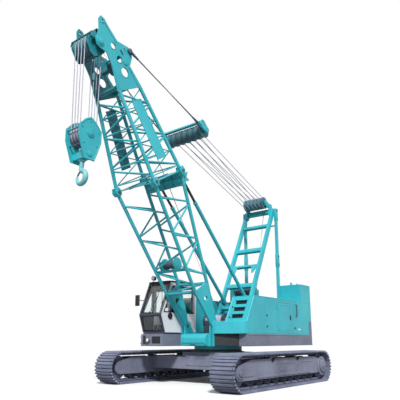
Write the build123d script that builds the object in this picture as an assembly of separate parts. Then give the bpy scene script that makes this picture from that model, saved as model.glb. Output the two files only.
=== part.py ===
"""Crawler crane: tracked undercarriage, slewing upper works, lattice boom, gantry stays and hook block.

Millimetres, +Z up, +X the way the boom points, +Y the machine's left side. The crane is modelled about
its slewing axis, and the finished pieces are then moved so that the origin is the bottom centre of the
whole crane at rest. Each piece is written to parts/NODE.step.
"""
import math
import os

from build123d import *

# Clearances: on a seat, round a pin, beside an eye, in a telescoping tube, between moving neighbours
SEAT_GAP = 0.3
PIN_GAP = 0.3
SIDE_GAP = 0.5
TUBE_GAP = 0.8
RUN_GAP = 6.0

# Tracks
TRACK_LENGTH = 5800.0
TRACK_HEIGHT = 970.0
TRACK_GAUGE = 4360.0
SHOE_WIDTH = 760.0
SHOE_COUNT = 60
SHOE_GAP = 34.0
SHOE_DEPTH = 56.0
GROOVE_DEPTH = 30.0
LINK_DEPTH = 76.0
LINK_WIDTH = 250.0
TRACK_FRAME_WIDTH = 470.0
TRACK_FRAME_LOW = 385.0
TRACK_FRAME_HIGH = 690.0
TRACK_FRAME_SHORT = 520.0
SKIRT_THICKNESS = 60.0
SKIRT_LOW = 290.0
SKIRT_HIGH = 800.0
NOTCH_HALF_TOP = 150.0
NOTCH_HALF_LOW = 45.0
YOKE_THICKNESS = 80.0
YOKE_END_R = 190.0
WHEEL_HUB_R = 110.0
LOWER_ROLLERS = 9
LOWER_ROLLER_R = 120.0
UPPER_ROLLERS = 2
UPPER_ROLLER_R = 72.0
UPPER_ROLLER_PITCH = 1500.0
ROLLER_WIDTH = 300.0
WHEEL_WIDTH = 240.0

# Carbody and slewing ring
CARBODY_LENGTH = 1750.0
CARBODY_WIDTH = 1500.0
CARBODY_LOW = 420.0
CARBODY_HIGH = 930.0
AXLE_PITCH = 1500.0
AXLE_WIDTH = 430.0
AXLE_LOW = 430.0
AXLE_HIGH = 790.0
RING_OUTER = 760.0
RING_INNER = 450.0
RING_HEIGHT = 90.0

# Revolving frame, decks and counterweight
DECK_LOW = 1120.0
DECK_HIGH = 1480.0
FLOOR_PLATE = 120.0
BEAM_HIGH = 1540.0
BEAM_PLATE = 45.0
UPPER_HALF_WIDTH = 1530.0
DECK_FRONT_LEFT = 640.0
DECK_FRONT_RIGHT = 1960.0
NOSE_X = 1290.0
NOSE_HIGH = 1480.0
NOSE_FILLET = 140.0
HEADLAMP_R = 62.0
HEADLAMP_REACH = 70.0
HEADLAMP_IN = 340.0
STEP_REAR = 1640.0
STEP_LENGTH = 220.0
STEP_REACH = 120.0
STEP_BAR_R = 14.0
STEP_HEIGHTS = (1205.0, 1385.0)
TAIL_X = -3730.0
COUNTERWEIGHT_FRONT = -2960.0
COUNTERWEIGHT_HIGH = 2640.0
TOP_BLOCK_HIGH = 3260.0
TOP_BLOCK_INNER = 660.0
TRAY_REAR = 230.0
TRAY_REAR_HIGH = 1960.0
EYE_HALF = 65.0
EYE_HEIGHT = 110.0
EYE_PLATE = 30.0
EYE_HOLE_R = 30.0
EYE_INSET = 150.0

# Machinery houses
HOUSE_INNER = 740.0
HOUSE_HIGH = 2640.0
HOUSE_WALL = 40.0
HOUSE_STEP_Z = 1850.0
HOUSE_FRONT_TOP = 200.0
VENT_COUNT = 3
VENT_HEIGHT = 110.0
VENT_PITCH = 215.0
VENT_FIRST_Z = 1950.0
VENT_INNER = 930.0
VENT_OUTER = 1330.0
DOOR_FRONT = -1230.0
DOOR_REAR = -2180.0
DOOR_LOW = 1560.0
DOOR_HIGH = 2520.0
HINGE_R = 16.0
HINGE_PIN_R = 8.0
KNUCKLE = 70.0
ENGINE_FRONT = -600.0
ENGINE_REAR = -2100.0
ENGINE_HIGH = 2400.0
ENGINE_SIDE_ROOM = 120.0

# Winches: place of each drum's axis, flange radius and drum radius
DRUM_HALF = 330.0
FLANGE = 40.0
STAND_PLATE = 50.0
STAND_FOOT_HALF = 220.0
STAND_TOP_HALF = 90.0
SHAFT_R = 60.0
WINCHES = {
    "main_hoist_winch": (60.0, 1880.0, 265.0, 185.0),
    "aux_hoist_winch": (-760.0, 1880.0, 265.0, 185.0),
    "boom_hoist_winch": (-1850.0, 2620.0, 240.0, 170.0),
}

# Boom: distances along its axis from the foot pin, and out from that axis
BOOM_ANGLE = 59.4
FOOT_X = 950.0
FOOT_Z = 1730.0
FOOT_Y = 555.0
FOOT_PIN_R = 55.0
FOOT_PLATE = 60.0
FOOT_END_R = 120.0
FOOT_HOLE_S = 900.0
FOOT_HOLE_R = 90.0
EAR_R = 150.0
CHORD_R = 52.0
LACING_R = 27.0
CHORD_START = 1300.0
JOINT_S = 4700.0
JOINT_LUG = 240.0
LUG_HALF = 82.0
CHORD_END = 7250.0
HALF_DEPTH_FOOT = 330.0
HALF_DEPTH_JOINT = 630.0
HALF_WIDTH_JOINT = 740.0
LACING_BAYS = 5
LACING_START = 1500.0
LACING_STEP_BACK = 50.0
HEAD_UPPER = 455.0
HEAD_LOWER = -405.0
HEAD_PLATE_Y = 450.0
HEAD_PLATE = 30.0
HEAD_MARGIN = 70.0
HEAD_TUBE_R = 60.0
SHEAVE_S = 8550.0
SHEAVE_N = -490.0
SHEAVE_R = 300.0
SHEAVE_ROW_HALF = 260.0
SHEAVE_COUNT = 4
GUIDE_S = 7960.0
GUIDE_N = 200.0
GUIDE_R = 200.0
GUIDE_HALF = 70.0
LUG_S = 8240.0
LUG_N = 500.0
JIB_S = 9080.0
JIB_N = -150.0
JIB_PIN_R = 30.0
HEAD_TIE_S = 8880.0
HEAD_TIE_N = -110.0
# Corners of the head plates: back edge up to the tip, then front edge down past the sheave shaft
HEAD_BACK = (
    (7850.0, 330.0), (8050.0, 520.0), (8240.0, 590.0), (8350.0, 520.0),
    (8540.0, 170.0), (8930.0, 20.0), (9130.0, -30.0), (9220.0, -130.0),
)
HEAD_FRONT = (
    (9150.0, -240.0), (8930.0, -340.0), (8760.0, -480.0), (8700.0, -600.0),
    (8500.0, -630.0), (8400.0, -560.0), (8280.0, -390.0), (7950.0, -360.0),
)
HEAD_HOLES = ((7700.0, 40.0, 130.0), (8060.0, 0.0, 95.0), (8420.0, -60.0, 85.0), (8300.0, 330.0, 30.0))
# Blank side panels, diaphragm at the section joint
PANEL_S = 6080.0
PANEL_N = 40.0
PANEL_LENGTH = 1720.0
PANEL_WIDTH = 400.0
PANEL_THICKNESS = 8.0
DIAPHRAGM = 24.0

# Gantry
GANTRY_FOOT_X = -660.0
GANTRY_FOOT_Z = 1750.0
GANTRY_TOP_X = -2880.0
GANTRY_TOP_Z = 6200.0
GANTRY_LEG_Y = 580.0
GANTRY_LEG_WIDTH = 100.0
GANTRY_LEG_DEPTH = 150.0
# Height of each cross bar up the ladder, and how deep the bar is
GANTRY_BARS = (
    (700.0, 130.0), (1560.0, 150.0), (2380.0, 80.0),
    (3080.0, 150.0), (4180.0, 110.0), (4880.0, 180.0),
)
GANTRY_BAR_DEPTH = 120.0
REAR_LEG_Y = 690.0
REAR_LEG_HALF = 40.0
REAR_LEG_DEPTH = 60.0
REAR_LEG_PIN_DROP = 60.0

# Luffing tackle: gantry block, bridle and pendants
ROPE_PIN_X = -2800.0
ROPE_PIN_Z = 6330.0
ROPE_PIN_R = 40.0
TACKLE_EAR_INNER = 478.0
BLOCK_PLATE_Y = 430.0
BLOCK_PLATE = 40.0
CHEEK_FLARE = 1.4
TACKLE_SHEAVE_R = 230.0
GANTRY_SHEAVE_AT = 280.0
GANTRY_SHEAVES = 5
GANTRY_ROW_HALF = 400.0
BRIDLE_X = 1620.0
BRIDLE_Z = 7790.0
BRIDLE_SHEAVES = 6
BRIDLE_ROW_HALF = 700.0
BRIDLE_PLATE_Y = 760.0
BRIDLE_PLATE = 40.0
BRIDLE_PIN_AT = 330.0
BRIDLE_PIN_R = 30.0
PENDANT_R = 24.0
PENDANT_EYE_R = 72.0
PENDANT_EYE = 60.0

# Boom backstops
STOP_FOOT_X = -1050.0
STOP_FOOT_Z = 2620.0
STOP_Y = 465.0
STOP_EYE = 60.0
STOP_EYE_R = 80.0
STOP_PIN_R = 40.0
STOP_S = 4450.0
STOP_N = 930.0
STOP_BEAM_HALF = 55.0
STOP_BRACKET = 30.0
STOP_BRACKET_HALF = 150.0
STOP_TUBE_R = 58.0
STOP_ROD_R = 40.0
STOP_ROD_SHOWN = 860.0
STOP_ROD_INSIDE = 1400.0
STOP_TUBE_SOLID = 300.0

# Hook block and hook
HOOK_LOW_Z = 5010.0
BLOCK_LOW_Z = HOOK_LOW_Z + 630.0
BLOCK_SHEAVE_Z = BLOCK_LOW_Z + 690.0
BLOCK_TOP_Z = BLOCK_LOW_Z + 1140.0
BLOCK_SHEAVE_R = 270.0
BLOCK_ROW_HALF = 220.0
BLOCK_HALF_LENGTH = 350.0
BLOCK_END_HALF = 160.0
BLOCK_SHOULDER = 155.0
BLOCK_CROWN = 90.0
BLOCK_Y = 250.0
CHEEK = 26.0
CROSSHEAD_HIGH = 200.0
CROSSHEAD_HALF = 110.0
HOOK_R = 64.0
HOOK_RING_R = 165.0
SHANK_R = 60.0
NUT_R = 95.0
NUT_HEIGHT = 80.0
HANGER_R = 84.0
HANGER_WIDTH = 24.0
HANGER_BAR_R = 9.0
HANGER_DROP = 860.0
WEIGHT_R = 46.0
WEIGHT_HEIGHT = 190.0

# Cab
CAB_REAR = 330.0
CAB_FRONT_LOW = 1870.0
CAB_KNEE = 2060.0
CAB_KNEE_Z = 2060.0
CAB_FRONT_HIGH = 1640.0
CAB_HIGH = 3120.0
CAB_INNER = 650.0
CAB_WALL = 50.0
CAB_SILL = 2150.0
CAB_POST = 110.0
GLASS = 8.0
CAB_DOOR_REAR = 600.0
CAB_DOOR_FRONT = 1450.0
CAB_DOOR_STEP = 60.0
QUARTER_POST = 60.0
QUARTER_TOP = 50.0
DOOR_GAP = 6.0
SEAT_X = 760.0
SEAT_SHARE = 0.545
SEAT_LENGTH = 480.0
SEAT_HIGH = 430.0
SEAT_PAD = 120.0
SEAT_BACK = 640.0
PEDESTAL = 240.0
CONSOLE_WIDTH = 110.0
CONSOLE_LENGTH = 620.0
CONSOLE_HIGH = 560.0
ROOF_LAMP_R = 70.0
ROOF_LAMP_DEPTH = 80.0
ROOF_LAMP_POST = 60.0
ROOF_LAMP_IN = 130.0
MIRROR_X = 1950.0
MIRROR_REACH = 215.0
MIRROR_Z = 2530.0
MIRROR_ARM_X = 1755.0
MIRROR_ARM_R = 12.0
MIRROR_HALF = (25.0, 75.0, 170.0)


def block(x0, x1, y0, y1, z0, z1):
    """A rectangular block between two corners."""
    centre = Pos((x0 + x1) / 2, (y0 + y1) / 2, (z0 + z1) / 2)
    return centre * Box(abs(x1 - x0), abs(y1 - y0), abs(z1 - z0))


def side_plate(points, y0, y1):
    """A plate with this outline in the XZ plane, between y0 and y1."""
    face = Plane.XZ * make_face(Polyline(*points, close=True))
    return Pos(0, min(y0, y1), 0) * extrude(face, amount=abs(y1 - y0), dir=(0, 1, 0))


def bar(p, q, radius):
    """A round bar from p to q."""
    start, end = Vector(*p), Vector(*q)
    run = end - start
    upright = (Align.CENTER, Align.CENTER, Align.MIN)
    return Plane(origin=start, z_dir=run) * Cylinder(radius, run.length, align=upright)


def cross_bar(x, z, y0, y1, radius):
    """A round bar along Y."""
    return bar((x, min(y0, y1), z), (x, max(y0, y1), z), radius)


def group(*shapes):
    """Several separate solids that share one node."""
    return Compound([solid for shape in shapes for solid in shape.solids()])


def trimmed(shape, origin, keep):
    """The part of a shape that lies on the side of the origin that keep points to."""
    return split(shape, bisect_by=Plane(origin=origin, z_dir=keep), keep=Keep.TOP)


def sheave_row(x, z, half, radius, count, shaft_r, shaft_half):
    """A row of grooved sheaves on one shaft along Y, as one turned piece."""
    groove = radius * 0.86
    pitch = 2 * half / count
    profile = [(0, -shaft_half), (shaft_r, -shaft_half), (shaft_r, -half)]
    for i in range(count):
        profile += [(radius, -half + i * pitch), (groove, -half + (i + 0.5) * pitch)]
    profile += [(radius, half), (shaft_r, half), (shaft_r, shaft_half), (0, shaft_half)]
    return Pos(x, 0, z) * revolve(make_face(Polyline(*profile, close=True)), axis=Axis.Y)


def track_loop(offset):
    """The loop that lies this far inside the shoe tips: its length, and a function from distance to point."""
    middle = TRACK_HEIGHT / 2
    radius = middle - offset
    run = TRACK_LENGTH - TRACK_HEIGHT
    bend = math.pi * radius
    length = 2 * run + 2 * bend

    def point(distance):
        d = distance % length
        if d < run:
            return (d - run / 2, middle + radius)
        if d < run + bend:
            a = math.pi / 2 - (d - run) / radius
            return (run / 2 + radius * math.cos(a), middle + radius * math.sin(a))
        if d < 2 * run + bend:
            return (run / 2 - (d - run - bend), middle - radius)
        a = -math.pi / 2 - (d - 2 * run - bend) / radius
        return (-run / 2 + radius * math.cos(a), middle + radius * math.sin(a))

    return length, point


def track_filling(offset, half_width):
    """Everything inside the loop that lies this far inside the shoe tips."""
    face = Plane.XZ * SlotOverall(TRACK_LENGTH - 2 * offset, TRACK_HEIGHT - 2 * offset)
    return Pos(0, -half_width, TRACK_HEIGHT / 2) * extrude(face, amount=2 * half_width, dir=(0, 1, 0))


def track_belt():
    """One track about its own centre line: a closed belt of shoes with the link chain inside it."""
    length, tip = track_loop(0)
    root_length, root = track_loop(GROOVE_DEPTH)
    outline = []
    for i in range(SHOE_COUNT):
        start, end = i / SHOE_COUNT, (i + 1) / SHOE_COUNT
        outline += [
            root(start * root_length + SHOE_GAP / 2),
            tip(start * length + SHOE_GAP / 2),
            tip(end * length - SHOE_GAP / 2),
            root(end * root_length - SHOE_GAP / 2),
        ]
    half, link_half = SHOE_WIDTH / 2, LINK_WIDTH / 2
    shoes = side_plate(outline, -half, half) - track_filling(SHOE_DEPTH, half)
    links = track_filling(SHOE_DEPTH, link_half) - track_filling(SHOE_DEPTH + LINK_DEPTH, link_half)
    return shoes + links


def track_pieces():
    """Frame, belt, end wheels and rollers of one track, about its own centre line."""
    inner = SHOE_DEPTH + LINK_DEPTH
    middle = TRACK_HEIGHT / 2
    wheel_x = (TRACK_LENGTH - TRACK_HEIGHT) / 2
    beam_x = wheel_x - TRACK_FRAME_SHORT
    half = TRACK_FRAME_WIDTH / 2
    frame = block(-beam_x, beam_x, -half, half, TRACK_FRAME_LOW, TRACK_FRAME_HIGH)
    skirt = [
        (beam_x, SKIRT_LOW), (wheel_x, middle - YOKE_END_R),
        (wheel_x, middle + YOKE_END_R), (beam_x, SKIRT_HIGH),
    ]
    for i in range(UPPER_ROLLERS):
        x = ((UPPER_ROLLERS - 1) / 2 - i) * UPPER_ROLLER_PITCH
        skirt += [
            (x + NOTCH_HALF_TOP, SKIRT_HIGH), (x + NOTCH_HALF_LOW, TRACK_FRAME_HIGH),
            (x - NOTCH_HALF_LOW, TRACK_FRAME_HIGH), (x - NOTCH_HALF_TOP, SKIRT_HIGH),
        ]
    skirt += [(-x, z) for x, z in reversed(skirt[:4])]
    for side in (-1, 1):
        frame += side_plate(skirt, side * half, side * (half - SKIRT_THICKNESS))
        for end in (-1, 1):
            frame += cross_bar(end * wheel_x, middle, side * half, side * (half - YOKE_THICKNESS), YOKE_END_R)
    wheel_r = middle - inner - SEAT_GAP
    wheel_half = WHEEL_WIDTH / 2
    hub_half = half - YOKE_THICKNESS - SEAT_GAP
    wheels = []
    for end in (-1, 1):
        wheel = cross_bar(end * wheel_x, middle, -wheel_half, wheel_half, wheel_r)
        wheels.append(wheel + cross_bar(end * wheel_x, middle, -hub_half, hub_half, WHEEL_HUB_R))
    roller_half = ROLLER_WIDTH / 2
    lower_z = inner + SEAT_GAP + LOWER_ROLLER_R
    upper_z = TRACK_HEIGHT - inner - SEAT_GAP - UPPER_ROLLER_R
    pitch = 2 * (beam_x - LOWER_ROLLER_R) / (LOWER_ROLLERS - 1)
    rollers = []
    for i in range(LOWER_ROLLERS):
        x = (i - (LOWER_ROLLERS - 1) / 2) * pitch
        rollers.append(cross_bar(x, lower_z, -roller_half, roller_half, LOWER_ROLLER_R))
    for i in range(UPPER_ROLLERS):
        x = (i - (UPPER_ROLLERS - 1) / 2) * UPPER_ROLLER_PITCH
        rollers.append(cross_bar(x, upper_z, -roller_half, roller_half, UPPER_ROLLER_R))
    return {
        "track_frame": frame,
        "track": track_belt(),
        "track_wheels": group(*wheels),
        "track_rollers": group(*rollers),
    }


def undercarriage():
    """Carbody with its axle beams, the slewing ring's fixed race and both tracks."""
    frame_inner = TRACK_GAUGE / 2 - TRACK_FRAME_WIDTH / 2 - SEAT_GAP
    half_l, half_w = CARBODY_LENGTH / 2, CARBODY_WIDTH / 2
    body = block(-half_l, half_l, -half_w, half_w, CARBODY_LOW, CARBODY_HIGH)
    for end in (-1, 1):
        x = end * AXLE_PITCH / 2
        half = AXLE_WIDTH / 2
        body += block(x - half, x + half, -frame_inner, frame_inner, AXLE_LOW, AXLE_HIGH)
    ring = Cylinder(RING_OUTER, RING_HEIGHT) - Cylinder(RING_INNER, RING_HEIGHT)
    nodes = {"carbody": body, "slew_ring": Pos(0, 0, CARBODY_HIGH + RING_HEIGHT / 2) * ring}
    pieces = track_pieces()
    for name, side in (("left", 1), ("right", -1)):
        place = Pos(0, side * TRACK_GAUGE / 2, 0)
        for piece, shape in pieces.items():
            nodes[f"{piece}_{name}"] = place * shape
    return nodes


def beam_cheeks():
    """The Y spans of the two plates that stand on either side of a boom foot, inner plate first."""
    gap = FOOT_PLATE / 2 + RUN_GAP
    return ((FOOT_Y - gap - BEAM_PLATE, FOOT_Y - gap), (FOOT_Y + gap, FOOT_Y + gap + BEAM_PLATE))


def turntable():
    """Revolving frame with the boom foot's ears, its nose, the side decks and the foot pins."""
    cheeks = beam_cheeks()
    bay, beam_outer = cheeks[0][0], cheeks[1][1]
    rear = COUNTERWEIGHT_FRONT
    ring_top = CARBODY_HIGH + RING_HEIGHT + SEAT_GAP
    seat = Pos(0, 0, (ring_top + DECK_LOW) / 2) * Cylinder(RING_OUTER, DECK_LOW - ring_top)
    frame = block(rear, FOOT_X, -beam_outer, beam_outer, DECK_LOW, DECK_LOW + FLOOR_PLATE) + seat
    outline = [
        (rear, DECK_LOW),
        (FOOT_X + EAR_R, DECK_LOW),
        (FOOT_X + EAR_R, FOOT_Z),
        (FOOT_X - EAR_R, FOOT_Z),
        (FOOT_X - 2 * EAR_R, BEAM_HIGH),
        (rear, BEAM_HIGH),
    ]
    for side in (-1, 1):
        for y0, y1 in cheeks:
            frame += side_plate(outline, side * y0, side * y1)
            frame += cross_bar(FOOT_X, FOOT_Z, side * y0, side * y1, EAR_R)
    nose = block(FOOT_X, NOSE_X, -bay, bay, DECK_LOW, NOSE_HIGH)
    front_edges = nose.edges().filter_by(Axis.Y).group_by(Axis.X)[-1]
    frame += fillet(front_edges, NOSE_FILLET)
    frame -= cross_bar(FOOT_X, FOOT_Z, -beam_outer, beam_outer, FOOT_PIN_R + SEAT_GAP)
    pins = [cross_bar(FOOT_X, FOOT_Z, side * bay, side * beam_outer, FOOT_PIN_R) for side in (-1, 1)]
    inner = beam_outer + SEAT_GAP
    left = block(rear, DECK_FRONT_LEFT, inner, UPPER_HALF_WIDTH, DECK_LOW, DECK_HIGH)
    right = block(rear, DECK_FRONT_RIGHT, -UPPER_HALF_WIDTH, -inner, DECK_LOW, DECK_HIGH)
    lamp = (-UPPER_HALF_WIDTH + HEADLAMP_IN, (DECK_LOW + DECK_HIGH) / 2)
    right += bar((DECK_FRONT_RIGHT, *lamp), (DECK_FRONT_RIGHT + HEADLAMP_REACH, *lamp), HEADLAMP_R)
    tread_y = -UPPER_HALF_WIDTH - STEP_REACH
    for z in STEP_HEIGHTS:
        right += bar((STEP_REAR, tread_y, z), (STEP_REAR + STEP_LENGTH, tread_y, z), STEP_BAR_R)
        for x in (STEP_REAR + STEP_BAR_R, STEP_REAR + STEP_LENGTH - STEP_BAR_R):
            right += cross_bar(x, z, tread_y, -UPPER_HALF_WIDTH, STEP_BAR_R)
    return {
        "turntable_frame": frame,
        "side_deck_left": left,
        "side_deck_right": right,
        "boom_foot_pins": group(*pins),
    }


def hinge_post(x, y, z, foot_x, foot_y):
    """A fixed hinge knuckle with its pin, on a leaf that runs back to its wall."""
    knuckle = bar((x, y, z), (x, y, z + KNUCKLE), HINGE_R)
    knuckle += block(min(x, foot_x), max(x, foot_x), min(y, foot_y), max(y, foot_y), z, z + KNUCKLE)
    return knuckle + bar((x, y, z + KNUCKLE), (x, y, z + 2 * KNUCKLE), HINGE_PIN_R)


def hinge_eye(x, y, z, end_x, pad_x, face_y):
    """The turning knuckle on a hinge post, on a leaf that stands off the wall as far as its door."""
    low, high = z + KNUCKLE + SEAT_GAP, z + 2 * KNUCKLE
    knuckle = bar((x, y, low), (x, y, high), HINGE_R)
    leaf_y = face_y + (y - face_y) / 2
    knuckle += block(x, end_x, y, leaf_y, low, high) + block(pad_x, end_x, leaf_y, face_y, low, high)
    return knuckle - bar((x, y, low), (x, y, high), HINGE_PIN_R + PIN_GAP)


def hung_door(panel, wall, edge_x, toward_door, face_y, out, heights):
    """Add hinges to a door panel and to the wall that carries it. The axis stands outside the wall's face."""
    x = edge_x - toward_door * HINGE_R
    y = face_y + out * (HINGE_R + RUN_GAP)
    pad_x = edge_x + toward_door * DOOR_GAP
    for z in heights:
        wall += hinge_post(x, y, z, x - toward_door * 2 * HINGE_R, face_y - out * HINGE_R)
        panel += hinge_eye(x, y, z, pad_x + toward_door * 2 * HINGE_R, pad_x, face_y)
    return panel, wall


def house_outline(inset):
    """Side view of a machinery house: a step at the front and a sloping face above it."""
    rear, low = COUNTERWEIGHT_FRONT + SEAT_GAP + inset, DECK_HIGH + SEAT_GAP + inset
    front = DECK_FRONT_LEFT - inset
    return [
        (rear, low), (front, low), (front, HOUSE_STEP_Z - inset / 2),
        (HOUSE_FRONT_TOP - inset, HOUSE_HIGH - inset), (rear, HOUSE_HIGH - inset),
    ]


def machinery():
    """Houses, engine, counterweight and winches."""
    outer = UPPER_HALF_WIDTH
    shell = side_plate(house_outline(0), HOUSE_INNER, outer)
    shell -= side_plate(house_outline(HOUSE_WALL), HOUSE_INNER + HOUSE_WALL, outer - HOUSE_WALL)
    shell -= block(DOOR_REAR, DOOR_FRONT, outer - HOUSE_WALL, outer, DOOR_LOW, DOOR_HIGH)
    for i in range(VENT_COUNT):
        z = VENT_FIRST_Z + i * VENT_PITCH
        vent_x = (HOUSE_FRONT_TOP - HOUSE_WALL, DECK_FRONT_LEFT)
        shell -= block(*vent_x, VENT_INNER, VENT_OUTER, z, z + VENT_HEIGHT)
    gap = DOOR_GAP
    door_x = (DOOR_REAR + gap, DOOR_FRONT - gap)
    door = block(*door_x, outer - HOUSE_WALL, outer, DOOR_LOW + gap, DOOR_HIGH - gap)
    heights = (DOOR_LOW + KNUCKLE, DOOR_HIGH - 3 * KNUCKLE)
    door, shell = hung_door(door, shell, DOOR_FRONT, -1, outer, 1, heights)
    rear = COUNTERWEIGHT_FRONT + SEAT_GAP
    low = DECK_HIGH + SEAT_GAP
    front = CAB_REAR - SEAT_GAP
    wall = HOUSE_WALL
    right = block(rear, front, -outer, -HOUSE_INNER, low, HOUSE_HIGH)
    room_y = (-outer + wall, -HOUSE_INNER - wall)
    right -= block(rear + wall, front - wall, *room_y, low + wall, HOUSE_HIGH - wall)
    engine_y = (HOUSE_INNER + ENGINE_SIDE_ROOM, outer - ENGINE_SIDE_ROOM)
    engine = block(ENGINE_REAR, ENGINE_FRONT, *engine_y, low + wall + SEAT_GAP, ENGINE_HIGH)
    tray, weights = counterweight()
    nodes = {
        "house_left": shell,
        "house_left_door": door,
        "house_right": right,
        "engine_block": engine,
        "counterweight_tray": tray,
        "counterweight": weights,
    }
    for name, (x, z, flange_r, drum_r) in WINCHES.items():
        nodes[name] = winch(x, z, flange_r, drum_r)
    return nodes


def lifting_eyes():
    """Places of the lifting eyes on the top weights: their X and Y."""
    middle = (TOP_BLOCK_INNER + UPPER_HALF_WIDTH) / 2
    xs = (TAIL_X + EYE_INSET, COUNTERWEIGHT_FRONT - EYE_INSET)
    return [(x, side * middle) for side in (-1, 1) for x in xs]


def counterweight():
    """The tray with its raised rear edge, and the weights that stand on it with their lifting eyes."""
    outer, front = UPPER_HALF_WIDTH, COUNTERWEIGHT_FRONT - SEAT_GAP
    step_x = TAIL_X + TRAY_REAR
    tray = [
        (TAIL_X, DECK_LOW), (front, DECK_LOW), (front, DECK_HIGH),
        (step_x, DECK_HIGH), (step_x, TRAY_REAR_HIGH), (TAIL_X, TRAY_REAR_HIGH),
    ]
    inner_x, low_z, step_z = step_x + SEAT_GAP, DECK_HIGH + SEAT_GAP, TRAY_REAR_HIGH + SEAT_GAP
    base = [
        (inner_x, low_z), (front, low_z), (front, COUNTERWEIGHT_HIGH),
        (TAIL_X, COUNTERWEIGHT_HIGH), (TAIL_X, step_z), (inner_x, step_z),
    ]
    weights = [side_plate(base, -outer, outer)]
    top, half = TOP_BLOCK_HIGH, EYE_HALF
    crown = top + EYE_HEIGHT
    for side in (-1, 1):
        top_y = (side * TOP_BLOCK_INNER, side * outer)
        weight = block(TAIL_X, front, *top_y, COUNTERWEIGHT_HIGH + SEAT_GAP, top)
        for x, y in lifting_eyes():
            if y * side > 0:
                eye = [(x - half, top), (x + half, top), (x + half / 2, crown), (x - half / 2, crown)]
                y0, y1 = y - EYE_PLATE / 2, y + EYE_PLATE / 2
                weight += side_plate(eye, y0, y1) - cross_bar(x, top + EYE_HEIGHT / 2, y0, y1, EYE_HOLE_R)
        weights.append(weight)
    return side_plate(tray, -outer, outer), group(*weights)


def winch(x, z, flange_r, drum_r):
    """A flanged drum between two stands on the revolving frame's floor."""
    end = DRUM_HALF + FLANGE
    profile = [
        (0, -end), (flange_r, -end), (flange_r, -DRUM_HALF), (drum_r, -DRUM_HALF),
        (drum_r, DRUM_HALF), (flange_r, DRUM_HALF), (flange_r, end), (0, end),
    ]
    drum = Pos(x, 0, z) * revolve(make_face(Polyline(*profile, close=True)), axis=Axis.Y)
    floor = DECK_LOW + FLOOR_PLATE + SEAT_GAP
    outline = [
        (x - STAND_FOOT_HALF, floor), (x + STAND_FOOT_HALF, floor),
        (x + STAND_TOP_HALF, z + STAND_TOP_HALF), (x - STAND_TOP_HALF, z + STAND_TOP_HALF),
    ]
    y = end + SEAT_GAP
    stands = [side_plate(outline, side * y, side * (y + STAND_PLATE)) for side in (-1, 1)]
    return group(drum, *stands)


def gantry_place():
    """The gantry ladder's own frame: Z along its legs from the foot, X square to them."""
    lean = math.degrees(math.atan2(GANTRY_TOP_X - GANTRY_FOOT_X, GANTRY_TOP_Z - GANTRY_FOOT_Z))
    return Pos(GANTRY_FOOT_X, 0, GANTRY_FOOT_Z) * Rot(0, lean, 0)


def gantry():
    """The A-frame: a ladder of two front legs with cross bars and tackle ears, and two upright rear legs."""
    place = gantry_place()
    length = math.hypot(GANTRY_TOP_X - GANTRY_FOOT_X, GANTRY_TOP_Z - GANTRY_FOOT_Z)
    depth, half = GANTRY_LEG_DEPTH / 2, GANTRY_LEG_WIDTH / 2
    leg_inner = GANTRY_LEG_Y - half
    below = GANTRY_FOOT_Z - DECK_LOW
    seat = (0, 0, BEAM_HIGH + SEAT_GAP)
    pin = (place.inverse() * Pos(ROPE_PIN_X, 0, ROPE_PIN_Z)).position
    stop_pin = (STOP_FOOT_X, STOP_FOOT_Z)
    ear_half = 2 * ROPE_PIN_R
    ear = [
        (-depth, length - 2 * GANTRY_LEG_DEPTH), (depth, length - 2 * GANTRY_LEG_DEPTH),
        (pin.X + ear_half, pin.Z), (pin.X + ROPE_PIN_R, pin.Z + ear_half),
        (pin.X - ROPE_PIN_R, pin.Z + ear_half), (-depth, length),
    ]
    ladder = []
    for side in (-1, 1):
        y = side * GANTRY_LEG_Y
        leg = place * block(-depth, depth, y - half, y + half, -below, length)
        leg = trimmed(leg, seat, (0, 0, 1))
        pin_tip = STOP_Y - STOP_EYE / 2 - STOP_PIN_R / 2
        leg += cross_bar(*stop_pin, side * pin_tip, side * GANTRY_LEG_Y, STOP_PIN_R)
        lug = side_plate(ear, side * TACKLE_EAR_INNER, side * (leg_inner - SEAT_GAP))
        lug -= cross_bar(pin.X, pin.Z, side * TACKLE_EAR_INNER, side * leg_inner, ROPE_PIN_R + PIN_GAP)
        ladder += [leg, place * lug]
    for z, high in GANTRY_BARS:
        at_ears = z + high / 2 > length - 2 * GANTRY_LEG_DEPTH
        reach = (TACKLE_EAR_INNER if at_ears else leg_inner) - SEAT_GAP
        bar_half = GANTRY_BAR_DEPTH / 2
        ladder.append(place * block(-bar_half, bar_half, -reach, reach, z - high / 2, z + high / 2))
    legs = []
    for side in (-1, 1):
        y = side * REAR_LEG_Y
        low, high = DECK_HIGH + SEAT_GAP, GANTRY_TOP_Z
        x0, x1 = GANTRY_TOP_X - REAR_LEG_DEPTH, GANTRY_TOP_X + REAR_LEG_DEPTH
        leg = block(x0, x1, y - REAR_LEG_HALF, y + REAR_LEG_HALF, low, high)
        pin_y = side * (GANTRY_LEG_Y + half + SEAT_GAP)
        leg += cross_bar(GANTRY_TOP_X, GANTRY_TOP_Z - REAR_LEG_PIN_DROP, pin_y, y, ROPE_PIN_R)
        legs.append(leg)
    return {"gantry_front_frame": group(*ladder), "gantry_rear_legs": group(*legs)}


def rope_length():
    return math.hypot(BRIDLE_X - ROPE_PIN_X, BRIDLE_Z - ROPE_PIN_Z)


def rope_place():
    """The luffing rope's own frame: X along the rope from the gantry pin to the bridle."""
    angle = math.degrees(math.atan2(BRIDLE_Z - ROPE_PIN_Z, BRIDLE_X - ROPE_PIN_X))
    return Pos(ROPE_PIN_X, 0, ROPE_PIN_Z) * Rot(0, -angle, 0)


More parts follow.
